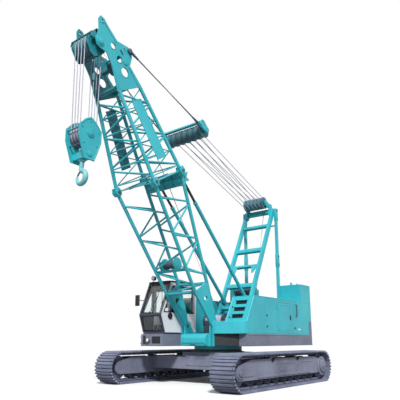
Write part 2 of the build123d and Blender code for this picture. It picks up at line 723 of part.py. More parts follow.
def stays():
    """Gantry sheave block, bridle and pendants."""
    place = rope_place()
    plate_outer = BLOCK_PLATE_Y + BLOCK_PLATE
    at, radius = GANTRY_SHEAVE_AT, TACKLE_SHEAVE_R
    shaft_half = BLOCK_PLATE_Y - SEAT_GAP
    block_sheaves = sheave_row(at, 0, GANTRY_ROW_HALF, radius, GANTRY_SHEAVES, ROPE_PIN_R, shaft_half)
    tackle = []
    half = 2 * ROPE_PIN_R
    wide = CHEEK_FLARE * half
    outline = [(-half, -half), (at, -wide), (at + wide, 0), (at, wide), (-half, half)]
    for side in (-1, 1):
        cheek = side_plate(outline, side * BLOCK_PLATE_Y, side * plate_outer)
        ear_outer = GANTRY_LEG_Y - GANTRY_LEG_WIDTH / 2 - SEAT_GAP
        tackle.append(cheek + cross_bar(0, 0, side * BLOCK_PLATE_Y, side * ear_outer, ROPE_PIN_R))
    at = rope_length()
    pin_at = at + BRIDLE_PIN_AT
    shaft_half = BRIDLE_PLATE_Y - SEAT_GAP
    bridle_sheaves = sheave_row(at, 0, BRIDLE_ROW_HALF, radius, BRIDLE_SHEAVES, ROPE_PIN_R, shaft_half)
    bridle = []
    half = PENDANT_EYE_R
    wide = CHEEK_FLARE * half
    outline = [(at - half, -half), (at + half, -wide), (pin_at, -half), (pin_at + half, 0)]
    outline += [(pin_at, half), (at + half, wide), (at - half, half)]
    eye_outer = BRIDLE_PLATE_Y - SIDE_GAP
    eye_inner = eye_outer - PENDANT_EYE
    for side in (-1, 1):
        cheek = side_plate(outline, side * BRIDLE_PLATE_Y, side * (BRIDLE_PLATE_Y + BRIDLE_PLATE))
        bridle.append(cheek + cross_bar(pin_at, 0, side * eye_inner, side * BRIDLE_PLATE_Y, BRIDLE_PIN_R))
    head = boom_point(LUG_S, 0, LUG_N)
    low = (place * Pos(pin_at, 0, 0)).position
    head_face = HEAD_PLATE_Y + HEAD_PLATE / 2 + SIDE_GAP
    pendants = []
    for side in (-1, 1):
        start = Vector(low.X, side * (eye_inner + eye_outer) / 2, low.Z)
        end = Vector(head.X, side * (head_face + PENDANT_EYE / 2), head.Z)
        pendant = bar(tuple(start), tuple(end), PENDANT_R)
        pendant += cross_bar(start.X, start.Z, side * eye_inner, side * eye_outer, PENDANT_EYE_R)
        pendant += cross_bar(end.X, end.Z, side * head_face, side * (head_face + PENDANT_EYE), PENDANT_EYE_R)
        pendant -= cross_bar(start.X, start.Z, side * eye_inner, side * eye_outer, BRIDLE_PIN_R + PIN_GAP)
        pendants.append(pendant)
    return {
        "gantry_sheave_block": place * group(*tackle),
        "gantry_block_sheaves": place * block_sheaves,
        "bridle": place * group(*bridle),
        "bridle_sheaves": place * bridle_sheaves,
        "pendants": group(*pendants),
    }


def boom_place():
    """The boom's own frame: X along it from the foot pin, Y across, Z out of its back."""
    return Pos(FOOT_X, 0, FOOT_Z) * Rot(0, -BOOM_ANGLE, 0)


def boom_point(s, y, n):
    """A point given in the boom's own frame."""
    return (boom_place() * Pos(s, y, n)).position


def chord_at(s, upper, side):
    """The centre of one chord at a distance along the boom."""
    level = HALF_DEPTH_JOINT if upper else -HALF_DEPTH_JOINT
    if s <= JOINT_S:
        t = (JOINT_S - s) / (JOINT_S - CHORD_START)
        end_n, end_y = (HALF_DEPTH_FOOT if upper else -HALF_DEPTH_FOOT), FOOT_Y
    else:
        t = (s - JOINT_S) / (CHORD_END - JOINT_S)
        end_n, end_y = (HEAD_UPPER if upper else HEAD_LOWER), HEAD_PLATE_Y
    y = HALF_WIDTH_JOINT + t * (end_y - HALF_WIDTH_JOINT)
    return (s, side * y, level + t * (end_n - level))


CORNERS = [(upper, side) for upper in (True, False) for side in (1, -1)]
FACES = [
    ((True, 1), (False, 1)), ((True, -1), (False, -1)),
    ((True, 1), (True, -1)), ((False, 1), (False, -1)),
]


def chord(start, end, corner):
    """One chord tube, cut square to the boom at both ends."""
    over = (Vector(*chord_at(end, *corner)) - Vector(*chord_at(start, *corner))).normalized() * CHORD_R
    low, high = Vector(*chord_at(start, *corner)) - over, Vector(*chord_at(end, *corner)) + over
    tube = bar(tuple(low), tuple(high), CHORD_R)
    tube = trimmed(tube, (start, 0, 0), (1, 0, 0))
    return trimmed(tube, (end, 0, 0), (-1, 0, 0))


def brace(p, q, chord_p, chord_q):
    """A lacing tube from chord to chord, each end cut along the chord's side so that it seats there."""
    start, end = Vector(*p), Vector(*q)
    run = (end - start).normalized()
    tube = bar(p, q, LACING_R)
    for point, along, toward in ((start, chord_p, run), (end, chord_q, run * -1)):
        inward = (toward - along * toward.dot(along)).normalized()
        tube = trimmed(tube, tuple(point + inward * (CHORD_R + SEAT_GAP)), tuple(inward))
    return tube


def zigzag(start, end, first, second):
    """Lacing that runs back and forth between two chords."""
    step = (end - start) / LACING_BAYS
    room = 1.8 * LACING_R
    along = {}
    for c in (first, second):
        along[c] = (Vector(*chord_at(end, *c)) - Vector(*chord_at(start, *c))).normalized()
    tubes = []
    for i in range(LACING_BAYS):
        a, b = (first, second) if i % 2 == 0 else (second, first)
        p = chord_at(start + i * step + room, *a)
        q = chord_at(start + (i + 1) * step - room, *b)
        tubes.append(brace(p, q, along[a], along[b]))
    return tubes


def foot_plate(side):
    """A boom leg's plate, with its pin bore and its round lightening hole."""
    y0, y1 = side * (FOOT_Y - FOOT_PLATE / 2), side * (FOOT_Y + FOOT_PLATE / 2)
    end = CHORD_START - SEAT_GAP
    deep = HALF_DEPTH_FOOT + CHORD_R
    outline = [(0, -FOOT_END_R), (end, -deep), (end, deep), (0, FOOT_END_R)]
    plate = side_plate(outline, y0, y1) + cross_bar(0, 0, y0, y1, FOOT_END_R)
    plate -= cross_bar(0, 0, y0, y1, FOOT_PIN_R + PIN_GAP)
    return plate - cross_bar(FOOT_HOLE_S, 0, y0, y1, FOOT_HOLE_R)


def head_outline():
    """Side view of the boom head: pendant lug at the back, tip in line, front edge behind the sheaves."""
    start = CHORD_END + SEAT_GAP
    return [(start, HEAD_UPPER + HEAD_MARGIN), *HEAD_BACK, *HEAD_FRONT, (start, HEAD_LOWER - HEAD_MARGIN)]


def boom_head():
    """Two head plates with lightening holes, tied by cross tubes."""
    inner = HEAD_PLATE_Y - HEAD_PLATE / 2
    pieces = []
    for side in (-1, 1):
        y0, y1 = side * inner, side * (inner + HEAD_PLATE)
        plate = side_plate(head_outline(), y0, y1)
        for s, n, r in (*HEAD_HOLES, (JIB_S, JIB_N, JIB_PIN_R)):
            plate -= cross_bar(s, n, y0, y1, r)
        pieces.append(plate)
    reach = inner - SEAT_GAP
    level = (HEAD_UPPER - HEAD_MARGIN, HEAD_LOWER + HEAD_MARGIN)
    ties = [(CHORD_END + 2 * HEAD_TUBE_R, n) for n in level] + [(HEAD_TIE_S, HEAD_TIE_N), (LUG_S, LUG_N)]
    pieces += [cross_bar(s, n, -reach, reach, HEAD_TUBE_R) for s, n in ties]
    return group(*pieces)


def stop_beam():
    """Cross beam between the back chords, with the plates that meet the backstops."""
    s, y, n = chord_at(STOP_S, True, 1)
    half = STOP_BEAM_HALF
    reach = y - CHORD_R - SEAT_GAP - half / 4
    beam = block(s - half, s + half, -reach, reach, n - half, n + half)
    wide = STOP_BRACKET_HALF
    outline = [(s - wide, n), (s + half, n), (s + half, STOP_N + half), (s - half, STOP_N + half)]
    outer = STOP_Y - STOP_EYE / 2 - SIDE_GAP
    for side in (-1, 1):
        beam += side_plate(outline, side * (outer - STOP_BRACKET), side * outer)
    return beam


def side_panels():
    """Blank panels on the outside of the top section's lacing."""
    s, y, _ = chord_at(PANEL_S, True, 1)
    lean = (chord_at(CHORD_END, True, 1)[1] - y) / (CHORD_END - s)
    stand_off = LACING_R + SEAT_GAP + PANEL_THICKNESS / 2
    panels = []
    for side in (-1, 1):
        face = Plane(origin=(s, side * y, PANEL_N), x_dir=(1, side * lean, 0), z_dir=(-lean, side, 0))
        panels.append(face * Pos(0, 0, stand_off) * Box(PANEL_LENGTH, PANEL_WIDTH, PANEL_THICKNESS))
    return group(*panels)


def diaphragm():
    """A plate across the boom that fits between the joint lugs."""
    half_y, half_n = HALF_WIDTH_JOINT - LUG_HALF - SEAT_GAP, HALF_DEPTH_JOINT - LUG_HALF - SEAT_GAP
    s0, s1 = JOINT_S - DIAPHRAGM / 2, JOINT_S + DIAPHRAGM / 2
    plate = block(s0, s1, -HALF_WIDTH_JOINT, HALF_WIDTH_JOINT, -half_n, half_n)
    return plate + block(s0, s1, -half_y, half_y, -HALF_DEPTH_JOINT, HALF_DEPTH_JOINT)


def boom():
    """The lattice boom in two sections, with plate feet, plate head and head sheaves."""
    lug_half = JOINT_LUG / 2
    foot_end, top_start = JOINT_S - lug_half, JOINT_S + lug_half
    foot_parts = [chord(CHORD_START, foot_end - SEAT_GAP, c) for c in CORNERS]
    foot_parts += [foot_plate(side) for side in (-1, 1)]
    top_parts = [chord(top_start + SEAT_GAP, CHORD_END, c) for c in CORNERS]
    lugs = []
    for corner in CORNERS:
        s, y, n = chord_at(JOINT_S, *corner)
        lugs.append(block(s - lug_half, s + lug_half, y - LUG_HALF, y + LUG_HALF, n - LUG_HALF, n + LUG_HALF))
    foot_lacing, top_lacing = [], []
    for face in FACES:
        foot_lacing += zigzag(LACING_START, STOP_S - STOP_BRACKET_HALF, *face)
        top_lacing += zigzag(top_start + LACING_STEP_BACK, CHORD_END - LACING_STEP_BACK, *face)
    shaft_half = HEAD_PLATE_Y - HEAD_PLATE / 2 - SEAT_GAP
    sheaves = sheave_row(SHEAVE_S, SHEAVE_N, SHEAVE_ROW_HALF, SHEAVE_R, SHEAVE_COUNT, SHAFT_R, shaft_half)
    guide = sheave_row(GUIDE_S, GUIDE_N, GUIDE_HALF, GUIDE_R, 1, SHAFT_R, shaft_half)
    nodes = {
        "boom_foot_section": group(*foot_parts),
        "boom_foot_lacing": group(*foot_lacing),
        "boom_joint_lugs": group(diaphragm(), *lugs),
        "boom_side_panels": side_panels(),
        "boom_stop_beam": stop_beam(),
        "boom_top_section": group(*top_parts),
        "boom_top_lacing": group(*top_lacing),
        "boom_head": boom_head(),
        "boom_head_sheaves": group(sheaves, guide),
    }
    return {name: boom_place() * shape for name, shape in nodes.items()}


def stop_length():
    top = boom_point(STOP_S, 0, STOP_N)
    return math.hypot(top.X - STOP_FOOT_X, top.Z - STOP_FOOT_Z)


def stop_place():
    """The backstops' own frame: X along them from the foot pin."""
    top = boom_point(STOP_S, 0, STOP_N)
    angle = math.degrees(math.atan2(top.Z - STOP_FOOT_Z, top.X - STOP_FOOT_X))
    return Pos(STOP_FOOT_X, 0, STOP_FOOT_Z) * Rot(0, -angle, 0)


def backstops():
    """Telescoping struts that keep the boom from going over backwards."""
    length = stop_length()
    tube_end = length - STOP_ROD_SHOWN
    half = STOP_EYE / 2
    tubes, rods = [], []
    for side in (-1, 1):
        y = side * STOP_Y
        tube = bar((0, y, 0), (tube_end, y, 0), STOP_TUBE_R) + cross_bar(0, 0, y - half, y + half, STOP_EYE_R)
        tube -= bar((STOP_TUBE_SOLID, y, 0), (tube_end, y, 0), STOP_ROD_R + TUBE_GAP)
        tube -= cross_bar(0, 0, y - STOP_EYE_R, y + STOP_EYE_R, STOP_PIN_R + PIN_GAP)
        tubes.append(tube)
        rod = bar((tube_end - STOP_ROD_INSIDE, y, 0), (length, y, 0), STOP_ROD_R)
        slab_x = (length - 2 * STOP_EYE_R, length + STOP_EYE_R)
        slab = block(*slab_x, y - half, y + half, -STOP_EYE_R, STOP_EYE_R)
        rod_end = rod & slab
        rod = trimmed(rod, (length - 2 * STOP_EYE_R, 0, 0), (-1, 0, 0)) + rod_end
        rods.append(rod + cross_bar(length, 0, y - half, y + half, STOP_EYE_R))
    place = stop_place()
    return {"backstop_tubes": place * group(*tubes), "backstop_rods": place * group(*rods)}


def hook_parts():
    """Overhoist weight, hook block, its sheaves and the hook, hung plumb under the head sheaves."""
    head = boom_point(SHEAVE_S, 0, SHEAVE_N)
    x = head.X
    hang_y = SHEAVE_ROW_HALF + RUN_GAP + HANGER_WIDTH / 2
    half = HANGER_WIDTH / 2
    hanger = cross_bar(x, head.Z, hang_y - half, hang_y + half, HANGER_R)
    weight_z = head.Z - HANGER_DROP
    hanger += bar((x, hang_y, head.Z), (x, hang_y, weight_z), HANGER_BAR_R)
    hanger += bar((x, hang_y, weight_z), (x, hang_y, weight_z - WEIGHT_HEIGHT), WEIGHT_R)
    hanger -= cross_bar(x, head.Z, hang_y - half, hang_y + half, SHAFT_R + PIN_GAP)
    right_half = [
        (0, BLOCK_TOP_Z), (BLOCK_END_HALF, BLOCK_TOP_Z - BLOCK_CROWN),
        (BLOCK_HALF_LENGTH, BLOCK_SHEAVE_Z + BLOCK_SHOULDER),
        (BLOCK_HALF_LENGTH, BLOCK_SHEAVE_Z - BLOCK_SHOULDER), (BLOCK_END_HALF, BLOCK_LOW_Z),
    ]
    outline = [(x + u, z) for u, z in right_half] + [(x - u, z) for u, z in right_half[:0:-1]]
    block_parts = [side_plate(outline, side * BLOCK_Y, side * (BLOCK_Y + CHEEK)) for side in (-1, 1)]
    cross_low = BLOCK_LOW_Z + SHANK_R
    cross_high = cross_low + CROSSHEAD_HIGH
    reach = BLOCK_Y - SEAT_GAP
    crosshead = block(x - CROSSHEAD_HALF, x + CROSSHEAD_HALF, -reach, reach, cross_low, cross_high)
    crosshead -= bar((x, 0, cross_low), (x, 0, cross_high), SHANK_R + PIN_GAP)
    block_parts.append(crosshead)
    sheaves = sheave_row(x, BLOCK_SHEAVE_Z, BLOCK_ROW_HALF, BLOCK_SHEAVE_R, SHEAVE_COUNT, SHAFT_R, reach)
    centre_z = HOOK_LOW_Z + HOOK_R + HOOK_RING_R
    nut_low = cross_high + SEAT_GAP
    hook = bar((x, 0, centre_z + HOOK_RING_R), (x, 0, nut_low), SHANK_R)
    hook += bar((x, 0, nut_low), (x, 0, nut_low + NUT_HEIGHT), NUT_R)
    path = Plane.YZ * (Pos(0, centre_z) * CenterArc((0, 0), HOOK_RING_R, 90, -285))
    hook += Pos(x, 0, 0) * sweep(Plane(origin=path @ 0, z_dir=path % 0) * Circle(HOOK_R), path=path)
    return {
        "overhoist_weight": hanger,
        "hook_block": group(*block_parts),
        "hook_sheaves": sheaves,
        "hook": hook,
    }


def cab_levels():
    """Heights of the cab's inside: above its floor and below its roof."""
    return DECK_HIGH + 2 * SEAT_GAP + CAB_WALL, CAB_HIGH - CAB_WALL - SEAT_GAP


def cab_front_line(inset):
    """The cab's bent front in side view, moved in by this much: its lowest, knee and highest points."""
    low, high = cab_levels()
    below = (CAB_KNEE - CAB_FRONT_LOW) / (CAB_KNEE_Z - low)
    above = (CAB_FRONT_HIGH - CAB_KNEE) / (high - CAB_KNEE_Z)
    back_below, back_above = inset * math.hypot(1, below), inset * math.hypot(1, above)
    rise = (back_below - back_above) / (below - above)
    knee = (CAB_KNEE + above * rise - back_above, CAB_KNEE_Z + rise)
    return (CAB_FRONT_LOW - back_below, low), knee, (CAB_FRONT_HIGH - back_above, high)


def cab_side(y0, y1):
    """One side wall of the cab, between floor and roof."""
    bottom, knee, top = cab_front_line(CAB_WALL + SEAT_GAP)
    return side_plate([(CAB_REAR, bottom[1]), bottom, knee, top, (CAB_REAR, top[1])], y0, y1)


def cab_front_panel(outer, inner, y0, y1):
    """A sloping front panel between an outer and an inner line, with its window and the pane in it."""
    panel = side_plate([*outer, *reversed(inner)], y0, y1)
    (xa, za), (xb, zb) = outer
    run = math.hypot(xb - xa, zb - za)
    width = y1 - y0
    plane = Plane(origin=(xa, y1, za), x_dir=(xb - xa, 0, zb - za), z_dir=(zb - za, 0, xa - xb))
    centre = plane * Pos(run / 2, width / 2, -CAB_WALL / 2)
    window = centre * Box(run - 2 * CAB_POST, width - CAB_POST, 2 * CAB_WALL)
    pane = centre * Box(run - 2 * (CAB_POST + SEAT_GAP), width - CAB_POST - 2 * SEAT_GAP, GLASS)
    return panel - window, pane


def cab():
    """The hollow cab in its wall panels, with door, glass, seat and console."""
    y0, y1, wall = -UPPER_HALF_WIDTH, -CAB_INNER, CAB_WALL
    low = DECK_HIGH + SEAT_GAP
    inside_low, inside_high = cab_levels()
    floor = block(CAB_REAR, CAB_FRONT_LOW, y0, y1, low, low + wall)
    roof = block(CAB_REAR, CAB_FRONT_HIGH, y0, y1, CAB_HIGH - wall, CAB_HIGH)
    lamp_x, lamp_y = CAB_FRONT_HIGH - ROOF_LAMP_R, y0 + ROOF_LAMP_IN
    lamp_z = CAB_HIGH + ROOF_LAMP_POST + ROOF_LAMP_R
    roof += bar((lamp_x, lamp_y, CAB_HIGH), (lamp_x, lamp_y, lamp_z), MIRROR_ARM_R)
    lamp_half = ROOF_LAMP_DEPTH / 2
    roof += bar((lamp_x - lamp_half, lamp_y, lamp_z), (lamp_x + lamp_half, lamp_y, lamp_z), ROOF_LAMP_R)
    rear_y = (y0 + wall + SEAT_GAP, y1 - wall - SEAT_GAP)
    rear = block(CAB_REAR, CAB_REAR + wall, *rear_y, inside_low, inside_high)
    window_high = inside_high - CAB_POST
    rear_window = (rear_y[0] + CAB_POST, rear_y[1] - CAB_POST, CAB_SILL, window_high)
    rear -= block(CAB_REAR, CAB_REAR + wall, *rear_window)
    left = cab_side(y1 - wall, y1)
    top_x, sill_x = CAB_FRONT_HIGH - wall - CAB_POST, CAB_KNEE - wall - CAB_POST
    window_rear = CAB_REAR + CAB_POST
    window = [(window_rear, CAB_SILL), (sill_x, CAB_SILL), (top_x, window_high), (window_rear, window_high)]
    left -= side_plate(window, y1 - wall, y1)
    right = cab_side(y0, y0 + wall)
    door_low, door_high = inside_low + CAB_DOOR_STEP, inside_high - CAB_DOOR_STEP
    right -= block(CAB_DOOR_REAR, CAB_DOOR_FRONT, y0, y0 + wall, door_low, door_high)
    quarter_rear = CAB_DOOR_FRONT + QUARTER_POST
    rise = (window_high - CAB_SILL) / (sill_x - top_x)
    quarter_high = CAB_SILL + rise * (sill_x - quarter_rear - QUARTER_TOP)
    quarter = [
        (quarter_rear, CAB_SILL), (sill_x, CAB_SILL),
        (quarter_rear + QUARTER_TOP, quarter_high), (quarter_rear, quarter_high),
    ]
    right -= side_plate(quarter, y0, y0 + wall)
    door_x = (CAB_DOOR_REAR + DOOR_GAP, CAB_DOOR_FRONT - DOOR_GAP)
    door = block(*door_x, y0, y0 + wall, door_low + DOOR_GAP, door_high - DOOR_GAP)
    door_window = (CAB_DOOR_REAR + CAB_POST, CAB_DOOR_FRONT - CAB_POST)
    door -= block(*door_window, y0, y0 + wall, CAB_SILL, door_high - CAB_POST)
    heights = (door_low + KNUCKLE, door_high - 3 * KNUCKLE)
    door, right = hung_door(door, right, CAB_DOOR_REAR, 1, y0, -1, heights)
    mirror_y = y0 - MIRROR_REACH
    right += bar((MIRROR_ARM_X, y0 + wall / 2, MIRROR_Z), (MIRROR_X, mirror_y, MIRROR_Z), MIRROR_ARM_R)
    deep, wide, tall = MIRROR_HALF
    right += block(
        MIRROR_X - deep, MIRROR_X + deep, mirror_y - wide, mirror_y + wide, MIRROR_Z - tall, MIRROR_Z + tall
    )
    outside, inside = cab_front_line(0), cab_front_line(wall)
    raised = [[(x, z + SEAT_GAP) for x, z in line[1:2]] + [line[2]] for line in (outside, inside)]
    lower, lower_pane = cab_front_panel(outside[:2], inside[:2], y0, y1)
    upper, upper_pane = cab_front_panel(*raised, y0, y1)
    half, gap = GLASS / 2, SEAT_GAP
    side_y, rear_x = y1 - wall / 2, CAB_REAR + wall / 2
    side_panes = []
    for outline, rear_edge, high, y in (
        (window, window_rear, window_high, side_y), (quarter, quarter_rear, quarter_high, y0 + wall / 2),
    ):
        shape = [(x + gap if x == rear_edge else x - 2 * gap, z) for x, z in outline]
        pane = trimmed(side_plate(shape, y - half, y + half), (0, 0, CAB_SILL + gap), (0, 0, 1))
        side_panes.append(trimmed(pane, (0, 0, high - gap), (0, 0, -1)))
    ry0, ry1, rz0, rz1 = rear_window
    rear_pane = block(rear_x - half, rear_x + half, ry0 + gap, ry1 - gap, rz0 + gap, rz1 - gap)
    door_y = y0 + wall / 2
    pane_x = (door_window[0] + gap, door_window[1] - gap)
    door_pane = block(*pane_x, door_y - half, door_y + half, CAB_SILL + gap, door_high - CAB_POST - gap)
    seat_middle, seat_half = (y0 + y1) / 2, SEAT_SHARE * (y1 - y0) / 2
    seat_y = (seat_middle - seat_half, seat_middle + seat_half)
    pad_low = inside_low + SEAT_HIGH - SEAT_PAD
    seat = block(SEAT_X, SEAT_X + SEAT_LENGTH, *seat_y, pad_low, pad_low + SEAT_PAD)
    seat += block(SEAT_X - SEAT_PAD, SEAT_X, *seat_y, pad_low, pad_low + SEAT_PAD + SEAT_BACK)
    mid_x, half = SEAT_X + SEAT_LENGTH / 2, PEDESTAL / 2
    seat += block(mid_x - half, mid_x + half, seat_middle - half, seat_middle + half, inside_low, pad_low)
    console_y = (y1 - wall - SEAT_GAP - CONSOLE_WIDTH, y1 - wall - SEAT_GAP)
    console = block(SEAT_X, SEAT_X + CONSOLE_LENGTH, *console_y, inside_low, inside_low + CONSOLE_HIGH)
    return {
        "cab_floor": floor,
        "cab_roof": roof,
        "cab_rear_wall": rear,
        "cab_side_left": left,
        "cab_side_right": right,
        "cab_front": group(lower, upper),
        "cab_glass": group(lower_pane, upper_pane, *side_panes, rear_pane),
        "cab_door": door,
        "cab_door_glass": door_pane,
        "operator_seat": seat,
        "control_console": console,
    }


def crane():
    """Every node of the crane about its slewing axis."""
    nodes = {}
    for build in (undercarriage, turntable, machinery, gantry, stays, boom, backstops, hook_parts, cab):
        nodes.update(build())
    return nodes


def origin_shift(nodes):
    """How far the crane moves along X so that the origin is the bottom centre of its box at rest."""
    boxes = [shape.bounding_box() for shape in nodes.values()]
    return -(min(b.min.X for b in boxes) + max(b.max.X for b in boxes)) / 2


def main():
    os.makedirs("parts", exist_ok=True)
    nodes = crane()
    shift = origin_shift(nodes)
    for name, shape in nodes.items():
        solids = [Pos(shift, 0, 0) * solid for solid in shape.solids()]
        export_step(solids[0] if len(solids) == 1 else Compound(solids), f"parts/{name}.step")
    print(f"{len(nodes)} nodes, moved {shift:.3f} mm along X")


if __name__ == "__main__":
    main()
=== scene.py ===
"""Looks of a crawler crane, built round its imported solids.

The pieces are drawn in metres about the slewing axis and moved onto the frame when they are finished.
"""
import math

import bmesh
import bpy
from mathutils import Matrix, Vector


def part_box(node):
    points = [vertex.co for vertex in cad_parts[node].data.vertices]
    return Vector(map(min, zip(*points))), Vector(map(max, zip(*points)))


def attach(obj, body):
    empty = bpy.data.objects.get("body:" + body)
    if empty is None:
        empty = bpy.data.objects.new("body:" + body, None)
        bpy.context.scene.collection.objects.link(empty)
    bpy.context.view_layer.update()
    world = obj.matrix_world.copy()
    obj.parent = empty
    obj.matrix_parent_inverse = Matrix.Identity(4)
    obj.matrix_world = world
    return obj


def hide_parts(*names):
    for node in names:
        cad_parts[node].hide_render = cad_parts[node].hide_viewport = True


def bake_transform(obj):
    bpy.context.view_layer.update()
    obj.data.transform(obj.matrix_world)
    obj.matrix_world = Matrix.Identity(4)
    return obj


bl_info = {
    "name": "Crawler crane",
    "version": (1, 0, 0),
    "blender": (4, 5, 0),
    "location": "View3D > Sidebar > Crane",
    "description": "Dresses the packed crawler crane with its finishes, ropes, track shoes and fittings",
    "category": "Object",
}

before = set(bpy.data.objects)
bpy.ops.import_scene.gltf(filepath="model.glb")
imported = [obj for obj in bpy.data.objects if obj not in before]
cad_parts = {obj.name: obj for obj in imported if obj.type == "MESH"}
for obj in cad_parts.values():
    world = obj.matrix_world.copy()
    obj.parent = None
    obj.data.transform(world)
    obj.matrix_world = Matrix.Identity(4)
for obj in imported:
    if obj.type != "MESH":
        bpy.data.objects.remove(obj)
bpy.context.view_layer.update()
RING_LOW, RING_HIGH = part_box("slew_ring")
SLEW = Vector(((RING_LOW.x + RING_HIGH.x) / 2, 0, 0))
SMOOTH_ANGLE = math.radians(32)

# The ways of the crane: the boom is in front, the cab on the right
FRONT = Vector((1, 0, 0))
REAR = -FRONT
ACROSS = Vector((0, 1, 0))
LEFT = ACROSS
RIGHT = -ACROSS
UP = Vector((0, 0, 1))
SIDES = (-1, 1)
# Swaps X and Y, for plates that face along the crane
FACING_X = Matrix(((0, 1, 0, 0), (1, 0, 0, 0), (0, 0, 1, 0), (0, 0, 0, 1)))
# Swaps Y and Z, for plates that lie flat
FACING_UP = Matrix(((1, 0, 0, 0), (0, 0, 1, 0), (0, 1, 0, 0), (0, 0, 0, 1)))

# Sizes and places shared with the solids, in metres about the slewing axis.
# Boom: distances run along it from the foot pin, across it, and out from its middle line
BOOM_ANGLE = math.radians(59.4)
BOOM_FOOT = Vector((0.95, 0, 1.73))
FOOT_LENGTH = 3.40
FOOT_NARROWING = 0.185
FOOT_THINNING = 0.30
FOOT_NODES = (1.50, 2.06, 2.62, 3.18, 3.74, 4.30)
FOOT_PLATE_Y = 0.555
FOOT_PLATE_HALF = 0.030
JOINT_AT = 4.70
JOINT_HALF_WIDTH = 0.74
JOINT_HALF_DEPTH = 0.63
TOP_LENGTH = 2.55
TOP_NARROWING = 0.29
TOP_THINNING_UPPER = 0.175
TOP_THINNING_LOWER = 0.225
TOP_NODES = (4.87, 5.336, 5.802, 6.268, 6.734, 7.20)
PANEL_LEAN = -TOP_NARROWING / TOP_LENGTH
PANEL_MIDDLE = 0.0315
PANEL_FACE = 0.0355
STOP_EYE = Vector((4.45, 0, 0.93))
STOP_ROLLER = Vector((4.45, 0, 0.725))
STOP_ROLLER_R = 0.045
HEAD_PLATE_Y = 0.45
HEAD_PLATE_HALF = 0.015
HEAD_INNER = 0.438
HEAD_SHEAVES = Vector((8.55, 0, -0.49))
HEAD_SHEAVE_YS = (-0.195, -0.065, 0.065, 0.195)
HEAD_GROOVE = 0.262
GUIDE_SHEAVE = Vector((7.96, 0, 0.20))
GUIDE_GROOVE = 0.174
PENDANT_EYE = Vector((8.24, 0, 0.50))
# Hook block and hook
BLOCK_Z = 6.33
BLOCK_SHEAVE_YS = (-0.165, -0.055, 0.055, 0.165)
BLOCK_GROOVE = 0.236
HOOK_LOW = 5.01
HOOK_BOWL = 0.165
# Gantry and luffing gear
GANTRY_FOOT = Vector((-0.66, 0, 1.75))
GANTRY_TOP = Vector((-2.88, 0, 6.20))
GANTRY_HEAD = Vector((-2.80, 0.2, 6.04))
STOP_FOOT = Vector((-1.05, 0, 2.62))
STOP_Y = 0.465
LEG_X = -2.88
LEG_Y = 0.69
ROPE_PIN = Vector((-2.8, 0, 6.33))
BRIDLE = Vector((1.62, 0, 7.79))
BRIDLE_PIN = 0.33
TACKLE_AT = 0.28
TACKLE_GROOVE = 0.201
TACKLE_YS = (-0.32, -0.16, 0.0, 0.16, 0.32)
BRIDLE_YS = (-0.583, -0.35, -0.117, 0.117, 0.35, 0.583)
# Tracks and carbody
TRACK_LENGTH = 5.8
TRACK_HEIGHT = 0.97
TRACK_Y = 2.18
WHEEL_X = (TRACK_LENGTH - TRACK_HEIGHT) / 2
WHEEL_Z = TRACK_HEIGHT / 2
SHOE_COUNT = 60
SHOE_HALF = 0.38
SHOE_DEPTH = 0.056
LINK_DEPTH = 0.076
BEND_INSET = 0.008
FRAME_HALF = 0.235
LOWER_ROLLERS = 9
ROLLER_PITCH = 0.44375
ROLLER_Z = 0.252
CARRIER_X = 0.75
CARRIER_Z = 0.766
CARBODY_HIGH = 0.93
AXLE_X = 0.75
AXLE_HIGH = 0.79
# Upper works
SIDE_Y = 1.53
EDGE = 0.012
DECK_LOW = 1.12
DECK_HIGH = 1.48
DECK_FRONT = 1.96
DECK_REAR = -2.95
HOUSE_FRONT = 0.64
HOUSE_HIGH = 2.64
HOUSE_INNER = 0.752
HOUSE_REAR = -2.94
SLOPE_FOOT = 1.85
SLOPE_RUN = 0.44
TAIL_X = -3.73
WEIGHT_REAR = TAIL_X + EDGE
WEIGHT_FRONT = -2.972
WEIGHT_INNER = 0.672
WEIGHT_HIGH = 3.248
DRUM_HALF = 0.33
# Winch drums by their place in the side view and their radius
DRUMS = {
    "main_drum": (0.06, 1.88, 0.185),
    "spare_drum": (-0.76, 1.88, 0.185),
    "luffing_drum": (-1.85, 2.62, 0.17),
}
DEFLECTOR = (-1.72, 2.97, 0.21)
# Cab: its sides, the front's corners from the floor up, and the windows in the side view
CAB_OUTER = -SIDE_Y
CAB_INNER = -0.65
CAB_FLOOR = 1.531
CAB_REAR = 0.33
CAB_SILL = 2.15
CAB_LINTEL = 2.96
CAB_TOE = Vector((1.87, 0, CAB_FLOOR))
CAB_KNEE = Vector((2.06, 0, 2.06))
CAB_BROW = Vector((1.64, 0, 3.07))
LEFT_WINDOW = [(0.44, CAB_SILL), (1.90, CAB_SILL), (1.48, CAB_LINTEL), (0.44, CAB_LINTEL)]
QUARTER_WINDOW = [(1.51, CAB_SILL), (1.90, CAB_SILL), (1.56, 2.806), (1.51, 2.806)]
# Cushions and ropes
PAD_VOXEL = 0.011
PAD_PRESSURE = 4.0
PAD_FRAMES = 20
PAD_SWELL = 0.012
LAY_TURNS = 6.5
LAY_STEPS = 6
STRANDS = 6
STRAND_VALLEY = 0.86


def linear(code):
    """An sRGB hex colour as linear red, green and blue."""
    parts = [int(code[i:i + 2], 16) / 255 for i in (1, 3, 5)]
    return tuple(c / 12.92 if c <= 0.04045 else ((c + 0.055) / 1.055) ** 2.4 for c in parts)


def turned_to(x, y, z):
    """A matrix with these three ways as its own."""
    return Matrix((x, y, z)).transposed().to_4x4()


def frame_at(origin, along):
    """A matrix whose X runs along this way in the side view, with Y across the crane."""
    along = Vector(along).normalized()
    return Matrix.Translation(origin) @ turned_to(along, ACROSS, along.cross(ACROSS))


